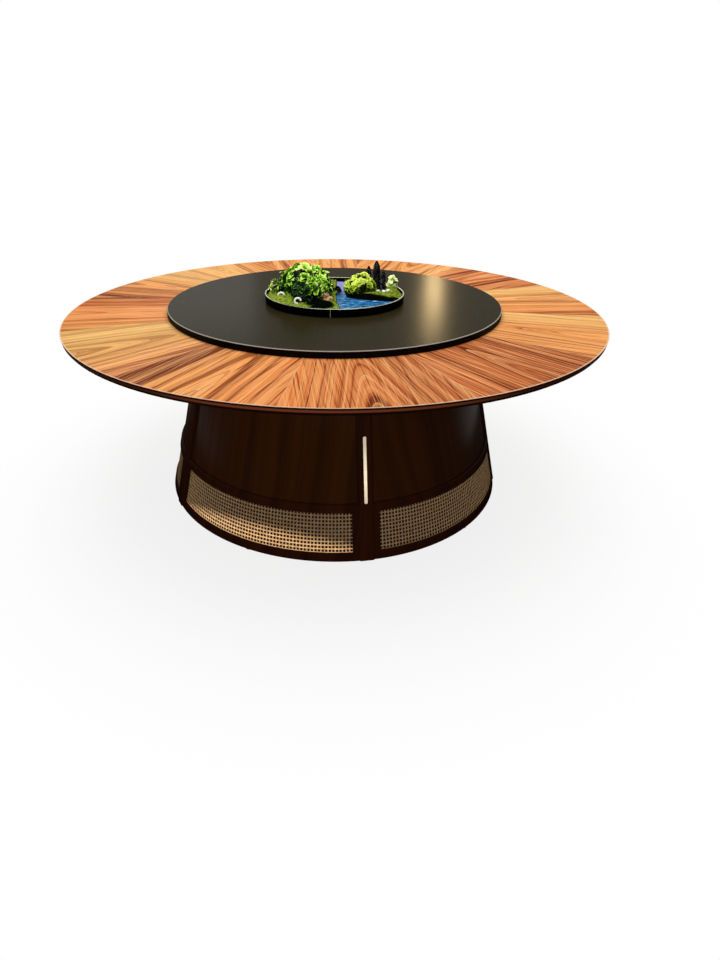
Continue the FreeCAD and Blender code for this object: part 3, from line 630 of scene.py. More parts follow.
# %% Materials: boards and plastics
plain_stuff("core_board", srgb(176, 146, 106), srgb(152, 122, 86), size=0.02, gloss=0.75, grain=0.0003)
plain_stuff("beam_pine", srgb(214, 180, 130), srgb(190, 150, 98), size=0.05, gloss=0.6, grain=0.0003)
plain_stuff("glide_plastic", srgb(34, 34, 36), srgb(46, 46, 48), size=0.01, gloss=0.5, grain=0.0001)
plain_stuff("cage_plastic", srgb(222, 220, 210), srgb(205, 203, 194), size=0.01, gloss=0.45, grain=0.00005)
dress("core_board", "top_core_")
dress("beam_pine", "cross_beam_")
dress("glide_plastic", "levelling_feet")
dress("cage_plastic", "ball_cage")

# %% [markdown]
# ## Black lacquer
# The turntable is a satin black with an olive cast, and the tray on it is glossier and blacker. Lacquer
# this dark is nearly all reflection, so what matters is its gloss: fine spray texture, faint smudges and a
# few specks of dust. The plain specular level is nought and a thin coat shines, or the pale studio would
# turn the black to grey at this flat angle. Masks of the radius and the height paint a highlight on the
# board's arris as a pale line, draw the deep black of its side, and paint a reflection on the tray's wall
# as one pale upright line.

# %% Material maker: black lacquer
turntable_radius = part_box("turntable_board")[1].x
turntable_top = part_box("turntable_board")[1].z
arris_width = 0.0028
# Where the painted reflection, a pale upright line, lies on the tray's wall.
tray_reflection_turn = math.radians(-12.8)
tray_reflection_half_width = 0.0018
top_slack = 0.001


def black_lacquer(name, colour, gloss, coat, spray):
    """A sprayed dark lacquer; spray is the depth of its fine texture."""
    tree, shader = finish(name, Specular_IOR_Level=0.0, Coat_Weight=coat, Coat_Roughness=gloss)
    place = own_place(tree)
    round_place = use(tree, "round_place", Place=place)
    marks = use(tree, "handling_marks", Place=place, Size=0.3)
    ease = use(tree, "eased_edge", Ease=0.0008)
    mist = noise(tree, place, 900.0, 2.0)
    tint = blend(tree, calc(tree, "MULTIPLY", marks["Dust"], 0.08), colour, srgb(150, 146, 134))
    # Painted highlight: a pale line on the board's rounded arris.
    near_edge = calc(tree, "GREATER_THAN", round_place["Radius"], turntable_radius - arris_width)
    near_top = calc(tree, "GREATER_THAN", round_place["Height"], turntable_top - arris_width)
    under_tray = calc(tree, "LESS_THAN", round_place["Height"], turntable_top + top_slack)
    arris_highlight = calc(tree, "MULTIPLY", near_edge, calc(tree, "MULTIPLY", near_top, under_tray))
    tint = blend(tree, arris_highlight, tint, srgb(176, 172, 162))
    below_top = calc(tree, "LESS_THAN", round_place["Height"], turntable_top - arris_width)
    tint = blend(tree, below_top, tint, srgb(4, 4, 4))
    # Painted reflection: a thin pale upright line on the front of the tray's wall.
    from_tray_reflection = calc(tree, "ABSOLUTE", calc(tree, "SUBTRACT", round_place["Turn"], tray_reflection_turn))
    from_tray_reflection = calc(tree, "MULTIPLY", from_tray_reflection, round_place["Radius"])
    on_wall = calc(tree, "GREATER_THAN", round_place["Height"], turntable_top + top_slack)
    painted_tray_reflection = calc(tree, "MULTIPLY", remap(tree, from_tray_reflection, tray_reflection_half_width, 0.0), on_wall)
    tint = blend(tree, painted_tray_reflection, tint, srgb(226, 226, 222))
    roughness = remap(tree, marks["Smudge"], 0.0, 1.0, gloss - 0.02, gloss + 0.03)
    normal = bumped(tree, mist, spray, ease["Normal"])
    wire(tree, shader, Base_Color=tint, Roughness=roughness, Normal=normal)


# %% Materials: turntable and tray
black_lacquer("black_satin", srgb(42, 37, 18), gloss=0.24, coat=0.1, spray=0.00001)
black_lacquer("black_gloss", srgb(5, 5, 5), gloss=0.14, coat=0.12, spray=0.000008)
dress("black_satin", "turntable_board")
dress("black_gloss", "turntable_apron", "tray_pan")

# %% [markdown]
# ## Making the soft and rough pieces
# Cane, leaves, moss, water and stone are where plain solids give themselves away. Each gets a mesh of its
# own that stays in the space of its solid. Most start from a copy of the solid that is remeshed into small
# even faces, smoothed, and then pushed in and out by noise: that keeps the size and place, and the
# roughness is real geometry. It could be a displacement in the material, but then the exported mesh would
# stay smooth.

# %% Mesh arrays
def points_of(mesh):
    """The places of a mesh's points, one row each."""
    flat = np.empty(3 * len(mesh.vertices))
    mesh.vertices.foreach_get("co", flat)
    return flat.reshape(-1, 3)


def normals_of(mesh):
    """The outward directions at a mesh's points."""
    flat = np.empty(3 * len(mesh.vertices))
    mesh.vertices.foreach_get("normal", flat)
    return flat.reshape(-1, 3)


def move_points(mesh, points):
    """Puts a mesh's points in new places."""
    mesh.vertices.foreach_set("co", points.ravel())
    mesh.update()


def mesh_from(name, points, faces, smooth=True):
    """A new mesh from arrays of points and faces."""
    mesh = bpy.data.meshes.new(name)
    mesh.from_pydata([tuple(point) for point in points], [], [tuple(face) for face in faces])
    mesh.polygons.foreach_set("use_smooth", [smooth] * len(mesh.polygons))
    mesh.update()
    return mesh


# %% [markdown]
# ## Lumps
# Some solids hold several loose lumps, such as both banks, all shrubs or all stones. Each lump is to get
# its own mesh, so the lumps are told apart by following the edges from point to point: every point takes
# the lowest number among its neighbours until nothing changes. Separating them in the editor would work
# too, but can't be repeated.

# %% Lumps of a node
joined_distance = 0.00001


def lumps_of(node):
    """The separate solids of a node as points and faces, from left to right."""
    work = bmesh.new()
    work.from_mesh(nodes[node].data)
    bmesh.ops.remove_doubles(work, verts=work.verts, dist=joined_distance)
    work.verts.index_update()
    points = np.array([corner.co[:] for corner in work.verts])
    ends = np.array([[corner.index for corner in edge.verts] for edge in work.edges])
    faces = [[corner.index for corner in face.verts] for face in work.faces]
    work.free()
    label = np.arange(len(points))
    while (label[ends[:, 0]] != label[ends[:, 1]]).any():
        lowest = np.minimum(label[ends[:, 0]], label[ends[:, 1]])
        np.minimum.at(label, ends[:, 0], lowest)
        np.minimum.at(label, ends[:, 1], lowest)
    lumps = []
    for number in np.unique(label):
        kept = np.flatnonzero(label == number)
        place = {old: new for new, old in enumerate(kept)}
        own_faces = [[place[corner] for corner in face] for face in faces if label[face[0]] == number]
        lumps.append((points[kept], own_faces))
    return sorted(lumps, key=lambda lump: lump[0][:, 0].min())


# %% [markdown]
# ## Even faces and rough surfaces
# Noise can only move points that are there, and a plain solid has few. A voxel remesh gives it small even
# faces, and a few rounds of smoothing take the steps out. The noise is the same each time for the same
# seed.

# %% Remesh and noise
def remeshed(name, points, faces, voxel, soften=0):
    """A closed form remade with small even faces, and smoothed a number of times."""
    holder = bpy.data.objects.new(name, mesh_from(name, points, faces))
    bpy.context.scene.collection.objects.link(holder)
    even = holder.modifiers.new("even", "REMESH")
    even.mode = "VOXEL"
    even.voxel_size = voxel
    if soften:
        soft = holder.modifiers.new("soft", "SMOOTH")
        soft.iterations = soften
    graph = bpy.context.evaluated_depsgraph_get()
    mesh = bpy.data.meshes.new_from_object(holder.evaluated_get(graph), depsgraph=graph)
    bpy.data.objects.remove(holder)
    mesh.polygons.foreach_set("use_smooth", [True] * len(mesh.polygons))
    return mesh


def rough(points, size, seed):
    """Smooth random values, about -1 to 1, at some places; size is the width of one hump."""
    shift = Vector((seed, 1.7 * seed, 2.3 * seed))
    return np.array([solid_noise.noise(Vector(point) / size + shift) for point in points])


# %% [markdown]
# ## Placing a modelled piece
# A modelled piece must know three things: which body it moves with, which finish it shows, and which solid
# it stands for, so that the solid is hidden. Pieces that ride on the tray are also listed, for the lamps at
# the end.

# %% New piece helper
landscape_pieces = []


def new_piece(name, mesh, material_name, body, slot, *replaced, turn=0.0):
    """A modelled piece with a finish, turned about the middle, that rides a body and stands for nodes."""
    piece = bpy.data.objects.new(name, mesh)
    bpy.context.scene.collection.objects.link(piece)
    if not mesh.materials:
        mesh.materials.append(bpy.data.materials[material_name])
    piece.rotation_euler.z = turn
    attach(piece, body)
    if body == "tray":
        landscape_pieces.append(piece)
    if replaced:
        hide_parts(*replaced)
    print(name, "has", len(mesh.polygons), "faces and stands for", replaced or "nothing")
    return piece


# %% [markdown]
# ## Woven cane
# The foot of the drum is closed with cane webbing, and its holes read dark against the backing. A texture
# of dots would look printed from close by, so the cane is really woven here: pairs of flat strands run up
# and round, and each pair passes over one and under the next. One bay is woven and then shown five times.
#
# The sheet is bent to the drum, and the drum leans, so the sheet lies on a cone. Its size is measured on
# the solid panel, and the number of rows and columns is whatever comes nearest to the real pitch of the
# mesh.

# %% The cane's cone
cane_gap_pitch = 0.0129
strand_half_width = 0.0009
strand_thickness = 0.0009
strand_lift = 0.00055
pair_offset = 0.0012
bend_offset = 0.0028

panel_points = points_of(nodes["cane_panel_1"].data)
panel_low, panel_high = panel_points[:, 2].min(), panel_points[:, 2].max()
panel_radii = np.hypot(panel_points[:, 0], panel_points[:, 1])
low_radius = panel_radii[panel_points[:, 2] < panel_low + strand_thickness].mean()
high_radius = panel_radii[panel_points[:, 2] > panel_high - strand_thickness].mean()
panel_turns = np.arctan2(panel_points[:, 0], -panel_points[:, 1])
first_turn, last_turn = panel_turns.min(), panel_turns.max()
rows = round((panel_high - panel_low) / cane_gap_pitch)
columns = round((last_turn - first_turn) * low_radius / cane_gap_pitch)
row_pitch = (panel_high - panel_low) / rows
column_turn = (last_turn - first_turn) / columns
print("cane from", round(panel_low, 3), "to", round(panel_high, 3), "m high")
print("radius", round(low_radius, 3), "at the foot and", round(high_radius, 3), "at the top")
print("turns", round(math.degrees(first_turn), 1), "to", round(math.degrees(last_turn), 1))
print("rows", rows, "columns", columns)

# %% [markdown]
# ## One strand
# A strand is a long prism with a flat back and a low ridge. Each crossing has four places: where the strand
# starts to bend, its two highest points beside the strand that it crosses, and where it is level again.
# Curves with a bevel would make thousands of objects; arrays make one light mesh.

# %% Strands on the cone
bend_shares = (0.45, 1.0, 1.0, 0.45)


def on_cone(turn, height, lift):
    """Points on the cane's cone, lifted outwards."""
    share = (height - panel_low) / (panel_high - panel_low)
    radius = low_radius + (high_radius - low_radius) * share + lift
    return np.stack([radius * np.sin(turn), -radius * np.cos(turn), height], axis=-1)


def weave_steps(count):
    """Places along a strand, counted in pitches, and which crossing each is at; four places to a pitch."""
    marks = np.array([-bend_offset, -pair_offset, pair_offset, bend_offset]) / cane_gap_pitch
    places = (np.arange(count)[:, None] + 0.5 + marks).ravel()
    crossings = np.repeat(np.arange(count), len(marks))
    return np.concatenate([[0.0], places, [count]]), np.concatenate([[0], crossings, [count - 1]])


def weave_lift(crossing, other):
    """How far a strand lies above the middle of the cloth at each of its places."""
    over = np.where((crossing + other) % 2 == 0, 1.0, -1.0)
    share = np.tile(bend_shares, (len(crossing) - 2) // len(bend_shares))
    return strand_lift * over * np.concatenate([[0.0], share, [0.0]])


def strand_prisms(low, high, top):
    """Points and faces of flat strands with a low ridge; each argument is strands by places by 3."""
    strands, places = low.shape[:2]
    points = np.stack([low, top, high], axis=2)
    number = np.arange(strands * places * 3).reshape(strands, places, 3)
    here, there = number[:, :-1], number[:, 1:]
    quads = []
    for first, second in ((0, 1), (1, 2), (2, 0)):
        side = np.stack([here[..., first], there[..., first], there[..., second], here[..., second]], axis=-1)
        quads.append(side.reshape(-1, 4))
    caps = np.concatenate([number[:, 0], number[:, -1, ::-1]])
    return points.reshape(-1, 3), np.concatenate(quads).tolist() + caps.tolist()


# %% [markdown]
# ## Weaving a bay
# First all upright strands are made, then all that run round, with the opposite lift, so that wherever one
# goes over the other goes under. The two sets become one mesh.

# %% Upright strands
places, crossings = weave_steps(rows)
columns_twice = np.repeat(np.arange(columns), 2)
side_offset = np.tile([-pair_offset, pair_offset], columns) / low_radius
strand_turns = (first_turn + (columns_twice + 0.5) * column_turn + side_offset)[:, None]
heights = (panel_low + places * row_pitch)[None, :]
lift = np.stack([weave_lift(crossings, column) for column in columns_twice])
half_turn = strand_half_width / low_radius
strand_turns, heights = np.broadcast_arrays(strand_turns, heights)
up_points, up_faces = strand_prisms(
    on_cone(strand_turns - half_turn, heights, lift),
    on_cone(strand_turns + half_turn, heights, lift),
    on_cone(strand_turns, heights, lift + strand_thickness),
)
print("upright strands:", len(columns_twice))

# %% Strands that run round
places, crossings = weave_steps(columns)
rows_twice = np.repeat(np.arange(rows), 2)
side_offset = np.tile([-pair_offset, pair_offset], rows)
strand_heights = (panel_low + (rows_twice + 0.5) * row_pitch + side_offset)[:, None]
turns = (first_turn + places * column_turn)[None, :]
lift = -np.stack([weave_lift(crossings, row) for row in rows_twice])
strand_heights, turns = np.broadcast_arrays(strand_heights, turns)
round_points, round_faces = strand_prisms(
    on_cone(turns, strand_heights + strand_half_width, lift),
    on_cone(turns, strand_heights - strand_half_width, lift),
    on_cone(turns, strand_heights, lift + strand_thickness),
)
round_faces = [[corner + len(up_points) for corner in face] for face in round_faces]
print("strands round the drum:", len(rows_twice))
cane_mesh = mesh_from("woven_cane", np.concatenate([up_points, round_points]), up_faces + round_faces)

# %% [markdown]
# ## The look of cane
# Cane is the shiny bark of rattan. Its straw colour is uneven from strand to strand and darkens with age,
# so a wide noise tints whole patches, a fine stretched one draws the fibres, and the roughness follows them
# both.

# %% Material: cane
tree, shader = finish("cane", Specular_IOR_Level=0.05)
place = own_place(tree)
round_place = use(tree, "round_place", Place=place)
marks = use(tree, "handling_marks", Place=place, Size=0.12)
strand_place = vector(tree, round_place["Girth"], round_place["Height"], 0.0)
patches = noise(tree, strand_place, 60.0, 4.0, 0.7)
fibres = noise(tree, place, 1500.0, 2.0)
colour = blend(tree, remap(tree, patches, 0.32, 0.68), srgb(226, 174, 120), srgb(255, 216, 164))
colour = blend(tree, remap(tree, fibres, 0.45, 0.7, 0.0, 0.4), colour, srgb(172, 124, 80))
colour = blend(tree, calc(tree, "MULTIPLY", marks["Speck"], 0.3), colour, srgb(112, 76, 46))
gloss = remap(tree, patches, 0.3, 0.7, 0.5, 0.36)
wire(tree, shader, Base_Color=colour, Roughness=gloss, Normal=bumped(tree, fibres, 0.00006))

# %% [markdown]
# ## Behind the cane
# The holes of the weave read nearly black, so the board behind it is coloured nearly black, darker than the
# frame. The woven mesh is then shown in all five bays, each turned a fifth of the way round, and hides the
# plain sheets.

# %% Material: cane backing
plain_stuff("cane_backing", srgb(6, 3, 1), srgb(3, 1, 1), size=0.06, gloss=0.8, grain=0.0001)
dress("cane_backing", "cane_backings")

# %% Cane in the five bays
bay_count = 5
woven_bays = []
for bay in range(bay_count):
    name, solid = f"woven_cane_{bay + 1}", f"cane_panel_{bay + 1}"
    woven_bays.append(new_piece(name, cane_mesh, "cane", "table", "cane", solid, turn=bay * bay_turn))

# %% [markdown]
# ## Leaves
# The tree in the tray is made of many small curled leaves in tufts, pale at their rims and nearly black in
# the gaps between. Particles could scatter them, but tufts made one by one keep each leaf a real face and
# each run the same. A leaf is a small grid that narrows to its tip, is cupped across and curls back. A value
# called tint is kept at its points: it is low inside the crown and high at the tips, and the material turns
# it into colour.

# %% Leaf maker
leaf_steps = np.array([0.0, 0.35, 0.7, 1.0])
leaf_sides = np.array([-1.0, 0.0, 1.0])
cup_depth = 0.3
frill_depth = 0.12
tip_light = 0.5
rim_light = 0.45
leaf_unevenness = 0.14
root_shade = 0.34
outline_start = 0.18
outline_length = 0.74
outline_bluntness = 0.7
curl_range = (0.4, 1.3)
width_range = (0.8, 1.2)


def unit(vectors):
    """Vectors of length one."""
    return vectors / np.linalg.norm(vectors, axis=-1, keepdims=True)


def leaves(roots, ways, ups, lengths, tints, width_share, curl, dice):
    """Points, faces and tints of curled leaves; roots, ways and ups are one row for each leaf."""
    count = len(roots)
    ways = unit(ways)
    across = unit(np.cross(ways, ups))
    ups = np.cross(across, ways)
    along, side = np.meshgrid(leaf_steps, leaf_sides, indexing="ij")
    along, side = along.ravel(), side.ravel()
    outline = np.sin(np.pi * np.clip(outline_start + outline_length * along, 0, 1))
    profile = width_share * outline**outline_bluntness
    bend = curl * dice.uniform(*curl_range, (count, 1)) * along**2
    cup = cup_depth * np.abs(side) * profile
    frill = dice.uniform(-frill_depth, frill_depth, (count, len(along))) * np.abs(side)
    sideways = side * profile * dice.uniform(*width_range, (count, 1))
    local = np.stack([along * (1 - 0.25 * bend), sideways, cup + frill - bend * 0.5], axis=-1)
    local = local * lengths[:, None, None]
    axes = np.stack([ways, across, ups], axis=1)
    points = roots[:, None, :] + np.einsum("npk,nkj->npj", local, axes)
    tint = tints[:, None] + tip_light * along + rim_light * np.abs(side) * along
    tint = tint + dice.uniform(-leaf_unevenness, leaf_unevenness, (count, 1)) - root_shade
    grid = np.arange(len(along)).reshape(len(leaf_steps), len(leaf_sides))
    quads = np.stack([grid[:-1, :-1], grid[1:, :-1], grid[1:, 1:], grid[:-1, 1:]], axis=-1).reshape(-1, 4)
    faces = (quads[None] + (np.arange(count) * len(along))[:, None, None]).reshape(-1, 4)
    return points.reshape(-1, 3), faces, np.clip(tint, 0, 1).ravel()


# %% [markdown]
# ## Tufts
# Leaves grow in tufts that point outwards. The tufts are scattered evenly over a mesh by picking its
# triangles in proportion to their area, and a tuft fans its leaves out round the surface's direction. The
# Geometry Nodes of Blender can scatter too; arrays keep every draw in sight, and seeded draws give the same
# tree each time.

# %% Scatter and fan out
tuft_turn_slack = 0.3
leaf_length_range = (0.7, 1.2)


def scattered(mesh, count, dice):
    """Random points spread evenly over a mesh, with the outward direction at each."""
    mesh.calc_loop_triangles()
    flat = np.empty(3 * len(mesh.loop_triangles), dtype=np.int32)
    mesh.loop_triangles.foreach_get("vertices", flat)
    corners = points_of(mesh)[flat.reshape(-1, 3)]
    crossed = np.cross(corners[:, 1] - corners[:, 0], corners[:, 2] - corners[:, 0])
    area = np.linalg.norm(crossed, axis=1)
    chosen = dice.choice(len(area), count, p=area / area.sum())
    first, second = dice.random((2, count, 1))
    flip = first + second > 1
    first, second = np.where(flip, 1 - first, first), np.where(flip, 1 - second, second)
    a, b, c = corners[chosen, 0], corners[chosen, 1], corners[chosen, 2]
    return a + first * (b - a) + second * (c - a), unit(crossed[chosen])


def tufts(centres, normals, tints, per_tuft, length, spread, width_share, curl, dice):
    """Leaves that fan out round the directions of some tufts."""
    count = len(centres)
    helper = np.where(np.abs(normals[:, 2:]) > 0.9, np.array([[1.0, 0, 0]]), np.array([[0, 0, 1.0]]))
    side = unit(np.cross(normals, helper))
    other = np.cross(normals, side)
    slack = dice.uniform(-tuft_turn_slack, tuft_turn_slack, (count, per_tuft))
    angle = 2 * np.pi * (np.arange(per_tuft)[None] + slack) / per_tuft
    tilt = dice.uniform(*spread, (count, per_tuft))
    flat_way = np.cos(angle)[..., None] * side[:, None] + np.sin(angle)[..., None] * other[:, None]
    ways = np.cos(tilt)[..., None] * normals[:, None] + np.sin(tilt)[..., None] * flat_way
    ups = np.cos(tilt)[..., None] * -flat_way + np.sin(tilt)[..., None] * normals[:, None]
    roots = np.repeat(centres[:, None], per_tuft, axis=1)
    lengths = length * dice.uniform(*leaf_length_range, count * per_tuft)
    tints = np.repeat(tints, per_tuft)
    flat = (roots.reshape(-1, 3), ways.reshape(-1, 3), ups.reshape(-1, 3))
    return leaves(*flat, lengths, tints, width_share, curl, dice)


def tinted_mesh(name, parts):
    """One mesh from several sets of points, faces and tints."""
    points = np.concatenate([part[0] for part in parts])
    starts = np.cumsum([0] + [len(part[0]) for part in parts[:-1]])
    faces = [face for part, start in zip(parts, starts) for face in (np.asarray(part[1]) + start).tolist()]
    mesh = mesh_from(name, points, faces)
    tints = np.concatenate([part[2] for part in parts])
    mesh.attributes.new("tint", "FLOAT", "POINT").data.foreach_set("value", tints)
    return mesh


# %% [markdown]
# ## The look of leaves
# Real leaves let light through at their thin rims and hide it in the gaps. At this size that is only a
# matter of colour: a ramp takes the tint of each point, with some mottle added, from nearly black to pale
# green. Light that passes through real thin leaves would take far longer to render and look the same.

# %% Material maker: leaves
mottle_share = 0.32


def leaf_material(name, *shades):
    """Leaves whose colour follows the tint at their points, from dark gaps to pale rims."""
    tree, shader = finish(name, Roughness=0.5, Specular_IOR_Level=0.1)
    tint = add(tree, "ShaderNodeAttribute", attribute_name="tint").outputs["Fac"]
    place = own_place(tree)
    mottle = noise(tree, place, 240.0, 3.0)
    share = calc(tree, "ADD", tint, calc(tree, "MULTIPLY_ADD", mottle, mottle_share, -mottle_share / 2))
    colour = tone_ramp(tree, share, shades)["Color"]
    gloss = remap(tree, mottle, 0.3, 0.7, 0.38, 0.55)
    veins = noise(tree, place, 900.0, 2.0)
    wire(tree, shader, Base_Color=colour, Roughness=gloss, Normal=bumped(tree, veins, 0.0002))


# %% Materials: leaves of tree, bush and plants
leaf_material(
    "tree_leaves",
    (0.0, srgb(3, 8, 5)),
    (0.25, srgb(8, 26, 10)),
    (0.45, srgb(40, 96, 18)),
    (0.66, srgb(140, 206, 34)),
    (0.84, srgb(206, 240, 84)),
    (1.0, srgb(248, 255, 190)),
)
leaf_material(
    "bush_leaves",
    (0.0, srgb(8, 14, 6)),
    (0.2, srgb(38, 62, 10)),
    (0.38, srgb(150, 190, 18)),
    (0.62, srgb(216, 242, 44)),
    (1.0, srgb(246, 255, 140)),
)
leaf_material(
    "pale_leaves",
    (0.0, srgb(24, 44, 12)),
    (0.25, srgb(96, 140, 36)),
    (0.48, srgb(190, 222, 84)),
    (0.75, srgb(232, 244, 150)),
    (1.0, srgb(252, 254, 214)),
)

# %% [markdown]
# ## A leafy mass
# A bush is a dark core with tufts on it. The core is the solid lump, shrunk and roughened, so that no light
# gets through, and its near-black colour is painted shade in the gaps. The tufts stand on the lump's surface,
# except where noise leaves a gap, and start below it, so that the tips end about where the solid did. Each
# mass has its own way to paint the light and shade of its tufts.

# %% Foliage maker
core_shade_tint = 0.04
core_roughness_share = 0.35
gap_size_share = 1.8
sink_share = 0.55
tuft_lean = 0.22
tuft_unevenness = 0.13


def foliage(
    name, lump, tone_and_light_of, *, voxel, amount, per_tuft, length, spread, width_share, curl, seed, gap, core
):
    """Tufts whose tips reach a lump's surface, over a core that lies deeper by the value core, if any."""
    dice = np.random.default_rng(seed)
    skin = remeshed(name + "_skin", *lump, voxel, 6)
    centres, normals = scattered(skin, amount, dice)
    kept = rough(centres, length * gap_size_share, seed + 5) > gap
    centres, normals = centres[kept], normals[kept]
    normals = unit(normals + dice.normal(0, tuft_lean, normals.shape))
    centres = centres - normals * length * sink_share
    tints = tone_and_light_of(centres, normals) + dice.uniform(-tuft_unevenness, tuft_unevenness, len(centres))
    mesh_parts = [tufts(centres, normals, tints, per_tuft, length, spread, width_share, curl, dice)]
    if core:
        inner = points_of(skin) - normals_of(skin) * core
        inner += normals_of(skin) * (rough(inner, length, seed) * length * core_roughness_share)[:, None]
        polygons = [list(polygon.vertices) for polygon in skin.polygons]
        # The core's near-black tint is painted shade in the gaps between the tufts.
        mesh_parts.append((inner, polygons, np.full(len(inner), core_shade_tint)))
    print(name, "has", len(centres), "tufts and", len(centres) * per_tuft, "leaves")
    bpy.data.meshes.remove(skin)
    return tinted_mesh(name, mesh_parts)


# %% [markdown]
# ## Tree crown
# The crown's light and shade are painted in its tint: bright on top and where the tufts face up, dark
# beneath. At its front left is a patch of painted shade, and just right of it a clump gets a painted
# highlight. Two spheres with soft edges lower and raise the tint there.

# %% Tree crown
crown_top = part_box("tree_crown")[1].z
tray_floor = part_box("tray_pan")[0].z
shade_patch_centre, shade_patch_core, shade_patch_edge = (-0.19, -0.1, 0.855), 0.035, 0.075
clump_centre, clump_core, clump_edge = (-0.082, -0.118, 0.88), 0.03, 0.065


def nearness(points, centre, core, edge):
    """One inside a sphere's core, and falling to nought at its edge."""
    return 1 - np.clip((np.linalg.norm(points - np.array(centre), axis=1) - core) / (edge - core), 0, 1)


def crown_light_and_shade(centres, normals):
    """Painted light and shade: bright above, dark below and in a shaded patch, a painted highlight on the
    clump.
    """
    height = (centres[:, 2] - tray_floor) / (crown_top - tray_floor)
    shade_patch = nearness(centres, shade_patch_centre, shade_patch_core, shade_patch_edge)
    clump_highlight = nearness(centres, clump_centre, clump_core, clump_edge)
    return -0.1 + 0.76 * height + 0.14 * normals[:, 2] - 0.4 * shade_patch + 0.36 * clump_highlight


crown = foliage(
    "tree_crown_leaves",
    lumps_of("tree_crown")[0],
    crown_light_and_shade,
    voxel=0.005,
    amount=330,
    per_tuft=7,
    length=0.03,
    spread=(0.45, 1.35),
    width_share=0.44,
    curl=1.5,
    seed=11,
    gap=-0.16,
    core=0.016,
)
crown_points = points_of(crown)
crown_points[:, 2] = np.minimum(crown_points[:, 2], crown_top)
move_points(crown, crown_points)
new_piece("tree_crown_leaves", crown, "tree_leaves", "tray", "tree_leaves", "tree_crown")

# %% [markdown]
# ## Bush and pale plants
# The bush across the water has small crisp leaves of a sharp yellow-green, above a foot darkened with
# painted shade. The two pale plants are loose sprigs of a few long leaves each, with no core, and the left
# one is a little greener; where their tufts face up they are painted a little lighter.

# %% Bush
left_plant, bush, right_plant = lumps_of("shrubs")
bush_low, bush_high = bush[0][:, 2].min(), bush[0][:, 2].max()


def bush_light_and_shade(centres, normals):
    """Yellow-green above a foot darkened by painted shade, and painted lighter where it faces up."""
    height = np.clip((centres[:, 2] - bush_low) / (bush_high - bush_low), 0, 0.6)
    return -0.5 + 1.9 * height + 0.14 * normals[:, 2]


bush_mesh = foliage(
    "bush_leaves",
    bush,
    bush_light_and_shade,
    voxel=0.004,
    amount=340,
    per_tuft=7,
    length=0.0125,
    spread=(0.3, 1.2),
    width_share=0.42,
    curl=0.8,
    seed=23,
    gap=-0.3,
    core=0.008,
)
new_piece("bush_leaves", bush_mesh, "bush_leaves", "tray", "shrub_leaves", "shrubs")

# %% Pale plants
no_gap = -2.0


def plant_tone_and_light(centres, normals):
    """Pale all over, the left plant a little less so, and painted a little lighter where a tuft faces up."""
    return np.where(centres[:, 0] < 0, 0.46, 0.6) + 0.15 * normals[:, 2]


for name, lump, seed in (("pale_plant_left", left_plant, 31), ("pale_plant_right", right_plant, 37)):
    plant = foliage(
        name,
        lump,
        plant_tone_and_light,
        voxel=0.003,
        amount=7,
        per_tuft=5,
        length=0.025,
        spread=(0.4, 1.6),
        width_share=0.36,
        curl=0.5,
        seed=seed,
        gap=no_gap,
        core=0.0,
    )
    new_piece(name, plant, "pale_leaves", "tray", "shrub_leaves", "shrubs")

# %% [markdown]
# ## The look of moss and grass
# The banks are preserved moss, laid in cushions with short grass on them. Its green comes in patches, and
# the steep sides are darker with painted shade. Some places are painted nearly black as shade: under the
# tree, beside the brown stone, at the foot of the bush and all along the right bank's shore. Each is a
# sphere, given by its middle and its reach, that shades what lies inside it. Painting them on the mesh
# would need more faces than the bank has.

# %% Places of painted shade on the banks
painted_shade_places = (
    ((-0.15, -0.09, 0.811), 0.05),
    ((-0.105, -0.15, 0.811), 0.052),
    ((-0.1, -0.215, 0.811), 0.05),
    ((-0.072, -0.195, 0.82), 0.048),
    ((-0.085, -0.07, 0.811), 0.056),
    ((0.118, 0.03, 0.811), 0.055),
    ((0.074, -0.03, 0.806), 0.036),
    ((0.092, -0.05, 0.807), 0.036),
    ((0.111, -0.067, 0.807), 0.034),
    ((0.13, -0.081, 0.807), 0.033),
    ((0.15, -0.093, 0.807), 0.032),
    ((0.17, -0.104, 0.807), 0.031),
    ((0.19, -0.112, 0.807), 0.03),
    ((0.21, -0.118, 0.807), 0.03),
    ((0.23, -0.122, 0.807), 0.03),
    ((-0.03, -0.15, 0.806), 0.022),
)
shade_core_share = 0.6
print("painted shade places:", len(painted_shade_places))

# %% Material maker: moss and grass
def ground_green(name, dark, middle, light, size, steep_shade_share):
    """A mossy green in patches, with painted shade where it is steep and in the listed places, and fine
    relief.
    """
    tree, shader = finish(name, Roughness=0.85, Specular_IOR_Level=0.0)
    place = own_place(tree)
    patches = noise(tree, place, 1 / size, 4.0, 0.65)
    fine = noise(tree, place, 14 / size, 3.0, 0.7)
    colour = blend(tree, remap(tree, patches, 0.4, 0.62), middle, dark)
    colour = blend(tree, remap(tree, fine, 0.48, 0.68), colour, light)
    # Painted shade: the steep sides of the banks are darkened.
    colour = blend(tree, remap(tree, upward(tree), 0.8, 0.3, 0.0, steep_shade_share), colour, dark)
    # Painted shade: each listed place darkens the green nearly to black.
    for centre, reach in painted_shade_places:
        offset = add(tree, "ShaderNodeVectorMath", {0: place, 1: centre}, operation="DISTANCE")
        wet = remap(tree, offset.outputs["Value"], reach, reach * shade_core_share)
        colour = blend(tree, wet, colour, srgb(5, 8, 4))
    gloss = remap(tree, fine, 0.3, 0.7, 0.92, 0.7)
    wire(tree, shader, Base_Color=colour, Roughness=gloss, Normal=bumped(tree, fine, 0.0008))


